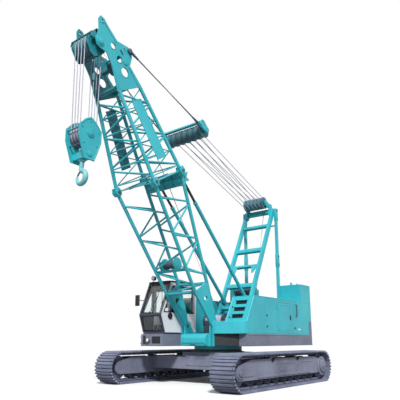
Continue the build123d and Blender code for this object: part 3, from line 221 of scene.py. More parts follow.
BOOM = frame_at(BOOM_FOOT, (math.cos(BOOM_ANGLE), 0, math.sin(BOOM_ANGLE)))
LUFFING = frame_at(ROPE_PIN, BRIDLE - ROPE_PIN)
ROPE_LENGTH = (BRIDLE - ROPE_PIN).length
HEAD_CENTRE = BOOM @ HEAD_SHEAVES
SLOPE = Vector((-SLOPE_RUN, 0, HOUSE_HIGH - SLOPE_FOOT)).normalized()
SLOPE_OUT = ACROSS.cross(SLOPE)


def upright(x0, x1, z0, z1, y):
    """The corners of a rectangle on a side of the crane."""
    return [(x0, y, z0), (x1, y, z0), (x1, y, z1), (x0, y, z1)]


class Shape:
    """One mesh that grows shape by shape and ends as a piece on its body."""

    def __init__(self):
        self.bm = bmesh.new()

    def bevel(self, edges, width, segments):
        """Round these edges off."""
        bmesh.ops.bevel(
            self.bm, geom=list(edges), offset=width, offset_type="OFFSET", segments=segments, profile=0.5,
            affect="EDGES", material=-1, clamp_overlap=True,
        )

    def block(self, low, high, bevel=0.0, place=Matrix(), segments=2):
        """A box between two corners."""
        low, high = Vector(low), Vector(high)
        sized = Matrix.Diagonal((*(high - low), 1))
        matrix = place @ Matrix.Translation((low + high) / 2) @ sized
        verts = bmesh.ops.create_cube(self.bm, size=1, matrix=matrix)["verts"]
        if bevel > 0:
            self.bevel({e for v in verts for e in v.link_edges}, bevel, segments)

    def plate(self, outline, y0, y1, bevel=0.0, place=Matrix()):
        """A plate with this side view, from y0 to y1."""
        corners = [self.bm.verts.new(place @ Vector((x, y0, z))) for x, z in outline]
        face = self.bm.faces.new(corners)
        grown = bmesh.ops.extrude_face_region(self.bm, geom=[face])["geom"]
        far = [v for v in grown if isinstance(v, bmesh.types.BMVert)]
        bmesh.ops.translate(self.bm, vec=place.to_3x3() @ Vector((0, y1 - y0, 0)), verts=far)
        verts = corners + far
        bmesh.ops.recalc_face_normals(self.bm, faces=list({f for v in verts for f in v.link_faces}))
        if bevel > 0:
            self.bevel({e for v in verts for e in v.link_edges}, bevel, 1)

    def bar(self, start, end, radius, segments=14, end_radius=None, bevel=0.0, place=Matrix()):
        """A round bar, or a cone where the end radius differs."""
        start, end = place @ Vector(start), place @ Vector(end)
        run = end - start
        turned = UP.rotation_difference(run).to_matrix().to_4x4()
        made = bmesh.ops.create_cone(
            self.bm, cap_ends=True, cap_tris=False, segments=segments, radius1=radius,
            radius2=radius if end_radius is None else end_radius, depth=run.length,
            matrix=Matrix.Translation((start + end) / 2) @ turned,
        )
        if bevel > 0:
            caps = {f for v in made["verts"] for f in v.link_faces if len(f.verts) == segments}
            self.bevel({e for f in caps for e in f.edges}, bevel, 2)

    def shaft(self, x, z, half, radius, segments, bevel=0.0, place=Matrix()):
        """A round bar across the crane, as far to both sides."""
        self.bar((x, -half, z), (x, half, z), radius, segments, bevel=bevel, place=place)

    def bolts(self, places, way, radius=0.018, height=0.014, place=Matrix()):
        """Hexagon heads with their washers."""
        way = Vector(way).normalized()
        for spot in places:
            spot = Vector(spot)
            washer = spot + way * height * 0.3
            self.bar(spot, washer, radius * 1.35, 12, place=place)
            self.bar(washer, spot + way * height, radius, 6, place=place)

    def ring(self, centre, way, radius, thick, steps=32, sides=8, place=Matrix()):
        """A round ring about this way."""
        centre, way = Vector(centre), Vector(way).normalized()
        first = way.orthogonal().normalized()
        turned = UP.rotation_difference(first.cross(way)).to_matrix().to_4x4()
        at = place @ Matrix.Translation(centre + first * radius) @ turned
        made = bmesh.ops.create_circle(self.bm, segments=sides, radius=thick, matrix=at)
        edges = list({e for v in made["verts"] for e in v.link_edges})
        bmesh.ops.spin(
            self.bm, geom=made["verts"] + edges, cent=place @ centre, axis=place.to_3x3() @ way,
            angle=math.tau, steps=steps, use_merge=True,
        )
        seen = {v for e in edges for v in e.verts}
        stack = list(seen)
        while stack:
            for edge in stack.pop().link_edges:
                new = set(edge.verts) - seen
                seen |= new
                stack += new
        bmesh.ops.recalc_face_normals(self.bm, faces=list({f for v in seen for f in v.link_faces}))

    def strip(self, start, end, wide, thick, out, bevel=0.0, place=Matrix()):
        """A flat bar that runs from start to end on a face and stands this thick on it."""
        start, end, out = Vector(start), Vector(end), Vector(out).normalized()
        along = (end - start).normalized()
        at = place @ Matrix.Translation(start) @ turned_to(along, out.cross(along), out)
        self.block((0, -wide / 2, 0), ((end - start).length, wide / 2, thick), bevel, at, 1)

    def surround(self, corners, wide, thick, out, place=Matrix()):
        """Flat bars along every edge of an opening."""
        for i, corner in enumerate(corners):
            self.strip(corners[i - 1], corner, wide, thick, out, thick / 3, place)

    def rail(self, points, radius, sides=10):
        """A bent tube through these points, with a ball at each bend."""
        points = [Vector(point) for point in points]
        for start, end in zip(points, points[1:]):
            self.bar(start, end, radius, sides)
        for point in points[1:-1]:
            at = Matrix.Translation(point)
            bmesh.ops.create_icosphere(self.bm, subdivisions=2, radius=radius, matrix=at)

    def disc(self, centre, way, radius, thick, bevel=0.004, segments=28, place=Matrix()):
        """A turned boss on a face."""
        way = Vector(way).normalized()
        self.bar(centre, Vector(centre) + way * thick, radius, segments, bevel=bevel, place=place)

    def hub(self, centre, way, steps, place=Matrix()):
        """Bosses stacked on a face, each by its radius, height, rounding and sides."""
        centre, way = Vector(centre), Vector(way).normalized()
        for radius, thick, bevel, segments in steps:
            self.disc(centre, way, radius, thick, bevel, segments, place)
            centre = centre + way * thick

    def bolt_circle(self, centre, way, radius, count, size=0.018, place=Matrix()):
        """Bolt heads evenly round a centre."""
        way = Vector(way).normalized()
        first = way.orthogonal().normalized() * radius
        turns = [Matrix.Rotation(math.tau * i / count, 3, way) for i in range(count)]
        self.bolts([Vector(centre) + turn @ first for turn in turns], way, size, size * 0.8, place)

    def copies(self, other, places):
        """Join copies of another shape at these places."""
        mesh = bpy.data.meshes.new("copy")
        for place in places:
            part = other.bm.copy()
            bmesh.ops.transform(part, matrix=place, verts=part.verts)
            part.to_mesh(mesh)
            self.bm.from_mesh(mesh)
            part.free()
        bpy.data.meshes.remove(mesh)

    def to_mesh(self, name):
        """Move the shape onto the frame and turn it into a mesh."""
        bmesh.ops.translate(self.bm, vec=SLEW, verts=self.bm.verts)
        mesh = bpy.data.meshes.new(name)
        self.bm.to_mesh(mesh)
        self.bm.free()
        return mesh

    def finish(self, name, body, finish, slot=None, replaced=()):
        """Make the shape a piece that rides on its body."""
        for face in self.bm.faces:
            face.smooth = True
        for edge in self.bm.edges:
            edge.smooth = len(edge.link_faces) == 2 and edge.calc_face_angle(0) < SMOOTH_ANGLE
        piece = linked(name, self.to_mesh(name))
        piece.data.materials.append(finish_of(finish))
        seat_piece(piece, body, replaced)


def linked(name, data):
    """A new object in the scene with this data."""
    made = bpy.data.objects.new(name, data)
    bpy.context.scene.collection.objects.link(made)
    return made


def seat_piece(piece, body, replaced=()):
    """Fix a piece to its named body, or else bake its place into its mesh, and hide the solids it stands for.
    """
    if isinstance(body, str):
        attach(piece, body)
    else:
        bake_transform(piece)
    if replaced:
        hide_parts(*replaced)


def evaluated(piece):
    """A new mesh of this object with its modifiers, bevels and sweeps."""
    bpy.context.view_layer.update()
    return bpy.data.meshes.new_from_object(piece.evaluated_get(bpy.context.evaluated_depsgraph_get()))


def feed(tree, node, inputs):
    """Give a shader node its values and links."""
    for name, value in inputs.items():
        if isinstance(value, bpy.types.NodeSocket):
            tree.links.new(value, node.inputs[name])
        else:
            node.inputs[name].default_value = value


def add(tree, kind, inputs=None, **settings):
    """Add a shader node with its settings, values and links."""
    made = tree.nodes.new(kind)
    for name, value in settings.items():
        setattr(made, name, value)
    feed(tree, made, inputs or {})
    return made


def noise(tree, place, scale, detail, rough=0.5):
    """Fractal noise over these coordinates."""
    values = {"Vector": place, "Scale": scale, "Detail": detail, "Roughness": rough}
    return add(tree, "ShaderNodeTexNoise", values).outputs[0]


def spread(tree, value, low, high, first=0.0, last=1.0, **settings):
    """A value spread from one range over another."""
    limits = {"From Min": low, "From Max": high, "To Min": first, "To Max": last}
    return add(tree, "ShaderNodeMapRange", {"Value": value, **limits}, **settings).outputs[0]


def reckon(tree, operation, first, second):
    """Two values put together by this operation."""
    return add(tree, "ShaderNodeMath", {0: first, 1: second}, operation=operation).outputs[0]


def mix(tree, share, first, second):
    """Two colours mixed by the share of the second."""
    return add(tree, "ShaderNodeMix", {"Factor": share, 6: first, 7: second}, data_type="RGBA").outputs[2]


def mix_shaders(tree, share, first, second):
    """Two shaders mixed by the share of the second."""
    return add(tree, "ShaderNodeMixShader", {0: share, 1: first, 2: second}).outputs[0]


def relief(tree, height, strength):
    """Fine relief from a height pattern."""
    return add(tree, "ShaderNodeBump", {"Height": height, "Strength": strength, "Distance": 0.002}).outputs[0]


def blank_finish(name):
    """A new material with only its shader and output, and the place coordinates."""
    material = bpy.data.materials.new(name)
    material.use_nodes = True
    tree = material.node_tree
    tree.nodes.clear()
    shader = add(tree, "ShaderNodeBsdfPrincipled")
    add(tree, "ShaderNodeOutputMaterial", {"Surface": shader.outputs[0]})
    place = add(tree, "ShaderNodeTexCoord").outputs["Object"]
    return material, tree, shader, place


def per_metre(millimetres):
    """Noise scale whose features are about this wide."""
    return 1000 / millimetres


def painted_inner_shade(tree, place, patch, paint, plane):
    """Painted shade on the faces inside this plane, towards the boom's middle, darker in patches."""
    way, limit = plane
    mirrored = add(tree, "ShaderNodeVectorMath", {0: place}, operation="ABSOLUTE").outputs[0]
    sides = add(tree, "ShaderNodeSeparateXYZ", {"Vector": mirrored}).outputs
    ends = add(tree, "ShaderNodeSeparateXYZ", {"Vector": place}).outputs
    folded = add(tree, "ShaderNodeCombineXYZ", {"X": ends[0], "Y": sides[1], "Z": ends[2]}).outputs[0]
    reach = add(tree, "ShaderNodeVectorMath", {0: folded, 1: way}, operation="DOT_PRODUCT").outputs["Value"]
    inside = reckon(tree, "LESS_THAN", reach, limit)
    amount = reckon(tree, "MULTIPLY", inside, spread(tree, patch, 0.25, 0.75, 0.55, 0.95))
    return mix(tree, amount, paint, (*linear(INNER_SHADE), 1))


def coated(name, colour, shade, dust, rough, dirt, grain=14.0, metal=0.0, plane=None):
    """Sprayed enamel or cast steel: drifts of shade, rain streaks, patches of dust and a fine skin."""
    material, tree, shader, place = blank_finish(name)
    drift = noise(tree, place, per_metre(900), 4.0)
    paint = mix(tree, spread(tree, drift, 0.3, 0.7), (*colour, 1), (*shade, 1))
    drawn = add(tree, "ShaderNodeMapping", {"Vector": place, "Scale": (9.0, 9.0, 0.7)}).outputs[0]
    rain = noise(tree, drawn, 1.4, 5.0)
    paint = mix(tree, spread(tree, rain, 0.52, 0.8, last=0.35), paint, (*shade, 1))
    patch = noise(tree, place, per_metre(160), 9.0, 0.68)
    paint = mix(tree, spread(tree, patch, 0.5, 0.78, last=dirt), paint, (*dust, 1))
    # Painted shade on the faces inside the plane, in patches
    if plane:
        paint = painted_inner_shade(tree, place, patch, paint, plane)
    skin = noise(tree, place, per_metre(grain), 3.0)
    matt = spread(tree, patch, 0, 1, rough - 0.08, rough + 0.2)
    looks = {"Base Color": paint, "Roughness": matt, "Normal": relief(tree, skin, 0.12), "Metallic": metal}
    feed(tree, shader, looks)
    return material


def window_glass(name):
    """Float glass: clear, faintly green, with a film of dust that dulls its shine in patches."""
    material, tree, shader, place = blank_finish(name)
    film = noise(tree, place, per_metre(240), 5.0)
    dull = spread(tree, film, 0.35, 0.75, last=0.12)
    clear = {"Base Color": (*linear("#F4FAFA"), 1), "Transmission Weight": 1.0, "IOR": 1.45}
    feed(tree, shader, {"Roughness": dull, **clear})
    return material


def woven(name, colour, shade):
    """Woven seat cloth: two crossed thread ways, drawn 6 mm apart so that they show."""
    material, tree, shader, place = blank_finish(name)
    thread = {"Vector": place, "Scale": per_metre(6) / math.tau * 3}
    waves = [add(tree, "ShaderNodeTexWave", thread, bands_direction=way) for way in ("Y", "DIAGONAL")]
    cross = reckon(tree, "MULTIPLY", waves[0].outputs[1], waves[1].outputs[1])
    cloth = mix(tree, cross, (*colour, 1), (*shade, 1))
    looks = {"Base Color": cloth, "Normal": relief(tree, cross, 0.4), "Roughness": 0.85, "Sheen Weight": 0.3}
    feed(tree, shader, looks)
    return material


def panel_plane():
    """The middle plane of a side panel of the boom, as a direction and its reach from the origin."""
    along = BOOM.to_3x3() @ FRONT
    foot = along.dot(SLEW + BOOM.translation)
    reach = JOINT_HALF_WIDTH + PANEL_MIDDLE - PANEL_LEAN * (JOINT_AT + foot)
    return ACROSS - along * PANEL_LEAN, reach


DUST = "#B9B3A6"
# The colour of the painted shade on the inner faces of the boom's head and side panels
INNER_SHADE = "#17707C"
TEAL = ("teal", "#2BA9B6", "#77C4CA", 0.36, 0.16)
# Coated finishes by colour, shade, dust, roughness, dirt, grain in millimetres and metal.
# A colour without a code is one that the panel sets
COATED = {
    # Two-pack enamel on steel plate: bright, satin, a little chalky in patches
    "teal_enamel": TEAL,
    # The same enamel on the boom's head and side panels, with painted shade on their inner faces
    "head_enamel": TEAL,
    "panel_enamel": TEAL,
    # The same enamel in grey on the skirts
    "grey_enamel": ("grey", "#646A7C", DUST, 0.45, 0.18),
    # Chassis grey over castings and plate, dusty from the ground
    "chassis_grey": ("chassis", "#686C80", DUST, 0.55, 0.3, 22.0),
    # Cast manganese steel shoes, scuffed and dusty
    "shoe_steel": ("shoes", "#62687E", "#A6A6AE", 0.55, 0.55, 18.0, 0.3),
    # Machinery and recesses: near-black, primer on the machinery and painted shade in the recesses
    "primer_and_shade_black": ("#23262D", "#181B20", "#4A4C52", 0.5, 0.25),
    # Cab frame: dark grey enamel
    "cab_grey": ("#3E4554", "#323845", "#6C717C", 0.4, 0.2),
    # Cab side panel: white enamel
    "white_enamel": ("#ECEAEE", "#DEDDE4", "#C9C4BC", 0.35, 0.2),
    # Galvanised wire rope, greased
    "rope_wire": ("#BFBFD0", "#A3A3B8", "#7E7A80", 0.5, 0.35, 4.0, 0.15),
    # Pendant ropes, dark with old grease
    "pendant_wire": ("#6E7488", "#5C6276", "#4A4440", 0.5, 0.3, 4.0, 0.2),
    # Turned steel: sheaves, drums and pins
    "turned_steel": ("#6E7684", "#565D6B", "#4C4743", 0.4, 0.4, 8.0, 0.6),
    # Forged hook under the same enamel, worn paler
    "hook_enamel": ("#86C9D0", "#6CB9C2", "#A9BCC0", 0.42, 0.4, 12.0),
    # Sheaves under old teal paint, greasy and worn
    "sheave_teal": ("#478089", "#3A6670", "#4A4B4E", 0.5, 0.4, 8.0, 0.1),
    # Silvered mirror
    "mirror_silver": ("#C9CED4", "#BCC2C9", DUST, 0.12, 0.05, 6.0, 0.9),
    # The dark face of a screen or blind
    "window_dark": ("#12161C", "#0E1116", "#3A3A3C", 0.14, 0.1),
    # Moulded rubber and plastic trim, and the painted shade under the right house's louvres
    "rubber_black_and_shade": ("#1B1D22", "#141519", "#3A3A3C", 0.6, 0.2, 6.0),
    # Lamp lens and reflector as one pale colour: a painted reflection of the reflector behind the glass
    "lamp_lens": ("#F3F1E6", "#E3E2DA", DUST, 0.12, 0.1),
}
# The planes inside which shade is painted onto the faces, as a direction and its reach
SHADE_PLANES = {"head_enamel": (ACROSS, HEAD_INNER), "panel_enamel": panel_plane()}
SEAT_CLOTH = ("#24262C", "#14151A")

NODE_FINISHES = {
    "chassis_grey": ["carbody", "track_frame_left", "track_frame_right"],
    "shoe_steel": [
        "track_left", "track_right", "track_wheels_left", "track_wheels_right",
        "track_rollers_left", "track_rollers_right",
    ],
    "grey_enamel": ["side_deck_left", "side_deck_right", "counterweight_tray"],
    "head_enamel": ["boom_head"],
    "panel_enamel": ["boom_side_panels"],
    "primer_and_shade_black": ["slew_ring", "engine_block", "control_console", "backstop_rods"],
    "sheave_teal": ["boom_head_sheaves", "bridle_sheaves", "gantry_block_sheaves", "overhoist_weight"],
    "cab_grey": ["cab_roof", "cab_front", "cab_rear_wall", "cab_side_right", "cab_floor"],
    "white_enamel": ["cab_side_left", "cab_door"],
    "pendant_wire": ["pendants"],
    "turned_steel": ["hook_sheaves", "boom_foot_pins", "main_hoist_winch", "aux_hoist_winch"],
    "hook_enamel": ["hook"],
    "window_glass": ["cab_glass", "cab_door_glass"],
    "seat_cloth": ["operator_seat"],
}
FINISHES = {}


def colour_of(code):
    """A colour by its hex code, or by its name in the panel."""
    return linear(code) if code.startswith("#") else getattr(bpy.context.scene.crane_colours, code)


def new_finish(name):
    """The material of a finish."""
    if name == "window_glass":
        return window_glass(name)
    if name == "seat_cloth":
        return woven(name, *map(linear, SEAT_CLOTH))
    colour, shade, dust, *rest = COATED[name]
    return coated(name, colour_of(colour), linear(shade), linear(dust), *rest, plane=SHADE_PLANES.get(name))


def finish_of(name):
    """A finish by name, made when it is first used."""
    if name not in FINISHES:
        FINISHES[name] = new_finish(name)
    return FINISHES[name]


def paint_nodes():
    """Give every carried-over solid its finish. Those not named are teal."""
    named = {node: finish for finish, nodes in NODE_FINISHES.items() for node in nodes}
    for node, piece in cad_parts.items():
        piece.data.materials.clear()
        piece.data.materials.append(finish_of(named.get(node, "teal_enamel")))


def strand_profile(radius):
    """The outline of a rope of six strands, as a curve that the rope is swept from."""
    data = bpy.data.curves.new("rope_section", "CURVE")
    data.dimensions = "2D"
    spline = data.splines.new("POLY")
    count = STRANDS * 2
    spline.points.add(count - 1)
    for i, point in enumerate(spline.points):
        reach = radius if i % 2 == 0 else radius * STRAND_VALLEY
        point.co = (reach * math.cos(math.tau * i / count), reach * math.sin(math.tau * i / count), 0, 1)
    spline.use_cyclic_u = True
    return linked("rope_section", data)


def rope(name, routes, radius, body, finish="rope_wire"):
    """Twisted wire ropes along these routes, as one mesh piece."""
    section = strand_profile(radius)
    data = bpy.data.curves.new(name, "CURVE")
    data.dimensions = "3D"
    data.twist_mode = "MINIMUM"
    data.bevel_mode = "OBJECT"
    data.bevel_object = section
    data.use_fill_caps = True
    lay = LAY_TURNS * 2 * radius
    for route in routes:
        points = [Vector(p) + SLEW for p in route]
        last = len(points) - 1
        spline = data.splines.new("BEZIER")
        spline.bezier_points.add(last)
        run = 0.0
        for i, (knot, point) in enumerate(zip(spline.bezier_points, points)):
            run += (point - points[i - 1]).length if i else 0.0
            knot.co = point
            knot.handle_left_type = knot.handle_right_type = "AUTO" if 0 < i < last else "VECTOR"
            knot.tilt = math.tau * run / lay
        spline.resolution_u = max(4, min(400, int(run / last / lay * LAY_STEPS)))
    curve = linked(name + "_route", data)
    mesh = evaluated(curve)
    mesh.name = name
    for obj in (curve, section):
        bpy.data.objects.remove(obj)
    mesh.materials.clear()
    mesh.materials.append(finish_of(finish))
    seat_piece(linked(name, mesh), body)


def arc(centre, radius, first, last, place=Matrix(), steps=8):
    """Points on a circle in the side view, from one angle to another."""
    angles = [first + (last - first) * i / steps for i in range(steps + 1)]
    turns = [Vector((math.cos(a), 0, math.sin(a))) for a in angles]
    return [place @ (Vector(centre) + turn * radius) for turn in turns]


def luffing_ropes(radius):
    """The luffing falls between gantry block and bridle, with their turns round the sheaves."""
    reach = TACKLE_GROOVE + radius
    falls = []
    for i, near_y in enumerate(TACKLE_YS):
        for far_y, level in ((BRIDLE_YS[i], reach), (BRIDLE_YS[i + 1], -reach)):
            ends = (TACKLE_AT, near_y, level), (ROPE_LENGTH, far_y, level)
            falls.append([LUFFING @ Vector(end) for end in ends])
    start, end = (SLEW + LUFFING @ Vector((s, 0, 0)) for s in (TACKLE_AT, ROPE_LENGTH))
    rope("luffing_falls", falls, radius, ("tackle", "bridle", start, end))
    near = [arc((TACKLE_AT, y, 0), reach, math.pi / 2, 1.5 * math.pi, LUFFING) for y in TACKLE_YS]
    rope("gantry_block_rope_turns", near, radius, "tackle", "pendant_wire")
    far = [arc((ROPE_LENGTH, y, 0), reach, -math.pi / 2, math.pi / 2, LUFFING) for y in BRIDLE_YS]
    rope("bridle_rope_turns", far, radius, "bridle", "pendant_wire")


def hoist_ropes(radius):
    """The hoist falls between head and hook block, with their turns round the sheaves."""
    x, top = HEAD_CENTRE.x, HEAD_CENTRE.z
    head_reach, block_reach = HEAD_GROOVE + radius, BLOCK_GROOVE + radius
    falls = []
    for head_y, block_y in zip(HEAD_SHEAVE_YS, BLOCK_SHEAVE_YS):
        for side in SIDES:
            falls.append([(x + side * head_reach, head_y, top), (x + side * block_reach, block_y, BLOCK_Z)])
    start, end = SLEW + Vector((x, 0, top)), SLEW + Vector((x, 0, BLOCK_Z))
    rope("hoist_falls", falls, radius, ("overhoist_weight", "hook_block", start, end))
    over = [arc((x, y, top), head_reach, 0, math.pi) for y in HEAD_SHEAVE_YS]
    rope("head_rope_turns", over, radius, "overhoist_weight")
    under = [arc((x, y, BLOCK_Z), block_reach, math.pi, math.tau) for y in BLOCK_SHEAVE_YS]
    rope("hook_block_rope_turns", under, radius, "hook_block")


def drum_ropes(radius):
    """Rope wound on the three winch drums, and the winches' gear cases and bearing caps."""
    flange_y, stand_y, case_thick, spokes = DRUM_HALF + 0.041, DRUM_HALF + 0.091, 0.03, 8
    for name, (x, z, drum_r) in DRUMS.items():
        wound = Shape()
        layer = drum_r + radius
        wound.shaft(x, z, DRUM_HALF, layer, 40)
        turns = int(2 * DRUM_HALF / (2.08 * radius))
        for i in range(turns):
            y = -DRUM_HALF + (i + 0.5) * 2 * DRUM_HALF / turns
            wound.ring((x, y, z), ACROSS, layer, radius, 36, 6)
        wound.finish(name + "_rope", "upper", "rope_wire")
        case = Shape()
        # The gear case is on the left, the smaller bearing cap on the right
        for side, rim, cap, circle in ((-1, 0.11, 0.07, 0.09), (1, 0.15, 0.10, 0.125)):
            way = ACROSS * side
            foot = Vector((x, side * stand_y, z))
            case.hub(foot, way, [(rim, case_thick, 0.004, 28), (cap, 0.02, 0.004, 28)])
            case.bolt_circle(foot + way * case_thick, way, circle, 10, 0.012)
            for spoke in range(spokes):
                turn = Matrix.Translation((x, 0, z)) @ Matrix.Rotation(math.tau * spoke / spokes, 4, "Y")
                ends = [(reach, side * flange_y, 0) for reach in (0.07, drum_r + 0.05)]
                case.strip(*ends, 0.03, 0.008, way, place=turn)
        case.finish(name + "_fittings", "upper", "grey_enamel")
    deflector(*DEFLECTOR)


def deflector(x, z, rim):
    """The drum that leads the luffing line past the gantry, between two round side plates."""
    half, thick, foot_z, grooves = 0.34, 0.03, 2.60, 9
    cheeks, barrel = Shape(), Shape()
    for side in SIDES:
        way, y = ACROSS * side, side * half
        cheeks.hub((x, y, z), way, [(rim, thick, 0.006, 40), (rim * 0.5, 0.025, 0.006, 28)])
        cheeks.bolt_circle((x, y + side * thick, z), way, rim * 0.75, 8, 0.012)
        stand = [(x - 0.10, foot_z), (x + 0.16, foot_z), (x + 0.07, z), (x - 0.07, z)]
        cheeks.plate(stand, y, y + side * 0.024)
    cheeks.finish("deflector_cheeks", "upper", "teal_enamel")
    barrel.shaft(x, z, half, rim * 0.72, 32)
    for i in range(grooves):
        barrel.ring((x, -0.28 + i * 0.07, z), ACROSS, rim * 0.74, 0.014, 32, 6)
    barrel.finish("deflector_drum", "upper", "turned_steel")


def standing_lines(radius):
    """The hoist line up the boom's back, and the luffing line from its drum to the gantry's head."""
    x, z, drum_r = DRUMS["main_drum"]
    drum = Vector((x, 0, z))
    roller_top = BOOM @ (STOP_ROLLER + UP * (STOP_ROLLER_R + radius))
    leaves = (roller_top - drum).normalized()
    low = drum - ACROSS.cross(leaves) * (drum_r + 2 * radius)
    rope("hoist_line_low", [[low, roller_top]], radius, ("upper", "boom", SLEW + low, SLEW + roller_top))
    guide = BOOM @ (GUIDE_SHEAVE + UP * (GUIDE_GROOVE + radius))
    head = BOOM @ (HEAD_SHEAVES + Vector((0.02, 0, HEAD_GROOVE + radius)))
    rope("hoist_line_high", [[roller_top, guide], [guide, head]], radius, "boom")
    x, z, drum_r = DRUMS["luffing_drum"]
    rope("luffing_line", [[(x - drum_r - radius, GANTRY_HEAD.y, z), GANTRY_HEAD]], radius, "upper")


def pendant_ropes(radius):
    """The pendants as laid rope in swaged sockets with clevis pins."""
    low_y, high_y, eye_half, socket_r = 0.7295, 0.4955, 0.03, 0.036
    # How far from the eye the fork, the socket and its tail begin and end
    fork, throat, tail = 0.05, 0.16, 0.32
    routes, sockets = [], Shape()
    for side in SIDES:
        low = LUFFING @ Vector((ROPE_LENGTH + BRIDLE_PIN, 0, 0)) + ACROSS * side * low_y
        high = BOOM @ PENDANT_EYE + ACROSS * side * high_y
        routes.append([low, high])
        run = (high - low).normalized()
        for eye, way in ((low, run), (high, -run)):
            sockets.bar(eye - ACROSS * eye_half, eye + ACROSS * eye_half, 0.072, 28, bevel=0.006)
            sockets.bar(eye + way * fork, eye + way * throat, 0.045, 18, socket_r)
            sockets.bar(eye + way * throat, eye + way * tail, socket_r, 18, 0.027, 0.003)
            sockets.ring(eye + way * throat, way, socket_r, 0.007, 20, 6)
    rope("pendant_ropes", routes, radius, "pendants", "pendant_wire")
    sockets.finish("pendant_sockets", "pendants", "turned_steel", "wire_rope", ["pendants"])


def track_frame_covers(name, side):
    """Drive and idler hubs, ribs, covers and caps on the outside of one track frame."""
    trim = Shape()
    way, outer = ACROSS * side, side * (TRACK_Y + FRAME_HALF)
    drive, idler = Vector((-WHEEL_X, outer, WHEEL_Z)), Vector((WHEEL_X, outer, WHEEL_Z))
    trim.hub(drive, way, [(0.30, 0.03, 0.008, 40), (0.20, 0.05, 0.012, 40), (0.09, 0.015, 0.004, 28)])
    trim.bolt_circle(drive + way * 0.03, way, 0.255, 16, 0.016)
    trim.bolt_circle(drive + way * 0.08, way, 0.145, 10, 0.012)
    trim.hub(idler, way, [(0.15, 0.025, 0.006, 32), (0.08, 0.03, 0.008, 28)])
    trim.bolt_circle(idler + way * 0.025, way, 0.115, 8, 0.014)
    # The cover of the tensioner behind the idler
    cover = 0.014
    trim.strip(idler - FRONT * 0.62, idler - FRONT * 0.19, 0.20, cover, way, 0.004)
    rows = [(0.17 * i - 0.58, side * cover, z) for i in range(3) for z in (-0.075, 0.075)]
    trim.bolts([idler + Vector(row) for row in rows], way, 0.012, 0.010)
    # Ribs and a hand-hole cover by start, end, width, height and rounding
    for x0, z0, x1, z1, wide, thick, bevel in (
        (-1.55, 0.345, 1.55, 0.345, 0.05, 0.016, 0.005),
        (-1.80, 0.66, -0.95, 0.66, 0.03, 0.010, 0.003),
        (-0.55, 0.66, 0.55, 0.66, 0.03, 0.010, 0.003),
        (-1.30, 0.375, -1.30, 0.64, 0.026, 0.012, 0.003),
        (-0.25, 0.375, -0.25, 0.64, 0.026, 0.012, 0.003),
        (0.85, 0.375, 0.85, 0.64, 0.026, 0.012, 0.003),
        (0.02, 0.52, 0.34, 0.52, 0.15, 0.010, 0.003),
    ):
        trim.strip((x0, outer, z0), (x1, outer, z1), wide, thick, way, bevel)
    corners = [(x, outer + side * 0.010, z) for x in (0.05, 0.31) for z in (0.465, 0.575)]
    trim.bolts(corners, way, 0.011, 0.010)
    trim.disc((-0.62, outer, 0.47), way, 0.045, 0.016)
    trim.disc((-0.75, outer, 0.56), way, 0.020, 0.020)
    for x in (-CARRIER_X, CARRIER_X):
        cap = Vector((x, outer - side * 0.085, CARRIER_Z))
        trim.disc(cap, way, 0.075, 0.02)
        trim.bolts([cap + way * 0.02], way, 0.02, 0.012)
    trim.finish(f"track_frame_covers_{name}", "undercarriage", "chassis_grey")


def roller_flanges(name, side):
    """Flanges, caps and keeper bolts at both ends of the lower rollers."""
    flange = 0.012
    rollers = Shape()
    for i in range(LOWER_ROLLERS):
        x = (i - (LOWER_ROLLERS - 1) / 2) * ROLLER_PITCH
        for end in SIDES:
            way = ACROSS * end
            face = Vector((x, side * TRACK_Y + end * 0.150, ROLLER_Z))
            rollers.hub(face, way, [(0.118, flange, 0.004, 24), (0.05, flange, 0.003, 16)])
            rollers.bolts([face + way * 2 * flange - UP * 0.027], way, 0.012, 0.008)
    rollers.finish(f"roller_flanges_{name}", "undercarriage", "primer_and_shade_black", "track_steel")


def carbody_fittings():
    """The slew ring's bolts, and the caps, ribs, gussets and covers of the axles."""
    cap_high, cover_x, cover = 0.03, 0.966, 0.012
    body = Shape()
    body.ring((0, 0, CARBODY_HIGH + 0.012), UP, 0.81, 0.018, 72, 8)
    body.bolt_circle((0, 0, CARBODY_HIGH), UP, 0.865, 40, 0.016)
    for end in SIDES:
        x = end * AXLE_X
        back, toe = x - end * 0.10, x + end * 0.08
        gusset = [(back, CARBODY_HIGH - 0.004), (back, AXLE_HIGH), (toe, AXLE_HIGH)]
        for side in SIDES:
            face = Vector((x, side * 1.935, 0.61))
            body.strip(face - FRONT * 0.20, face + FRONT * 0.20, 0.34, 0.009, ACROSS * side)
            for u in (-0.14, 0, 0.14):
                cap = Vector((x + u, side * 1.62, AXLE_HIGH))
                body.disc(cap, UP, 0.045, cap_high, 0.006, 20)
                body.bolts([cap + UP * cap_high], UP, 0.018, 0.012)
            body.strip((x, side * 0.76, AXLE_HIGH), (x, side * 1.50, AXLE_HIGH), 0.030, 0.035, UP, 0.004)
            body.plate(gusset, side * 0.752, side * 0.772)
            body.bolts([(x + u, side * 1.90, AXLE_HIGH) for u in (-0.16, 0.16)], UP, 0.02, 0.016)
        way, x = FRONT * end, end * cover_x
        body.strip((x, -0.55, 0.68), (x, 0.55, 0.68), 0.30, cover, way, 0.004)
        body.bolts([(x + end * cover, y, z) for y in (-0.5, 0.5) for z in (0.57, 0.79)], way, 0.016, 0.012)
    body.finish("carbody_fittings", "undercarriage", "chassis_grey")


def undercarriage():
    """Track frame covers, roller flanges, and the carbody's bolts and gussets."""
    for name, side in (("left", 1), ("right", -1)):
        track_frame_covers(name, side)
        roller_flanges(name, side)
    carbody_fittings()


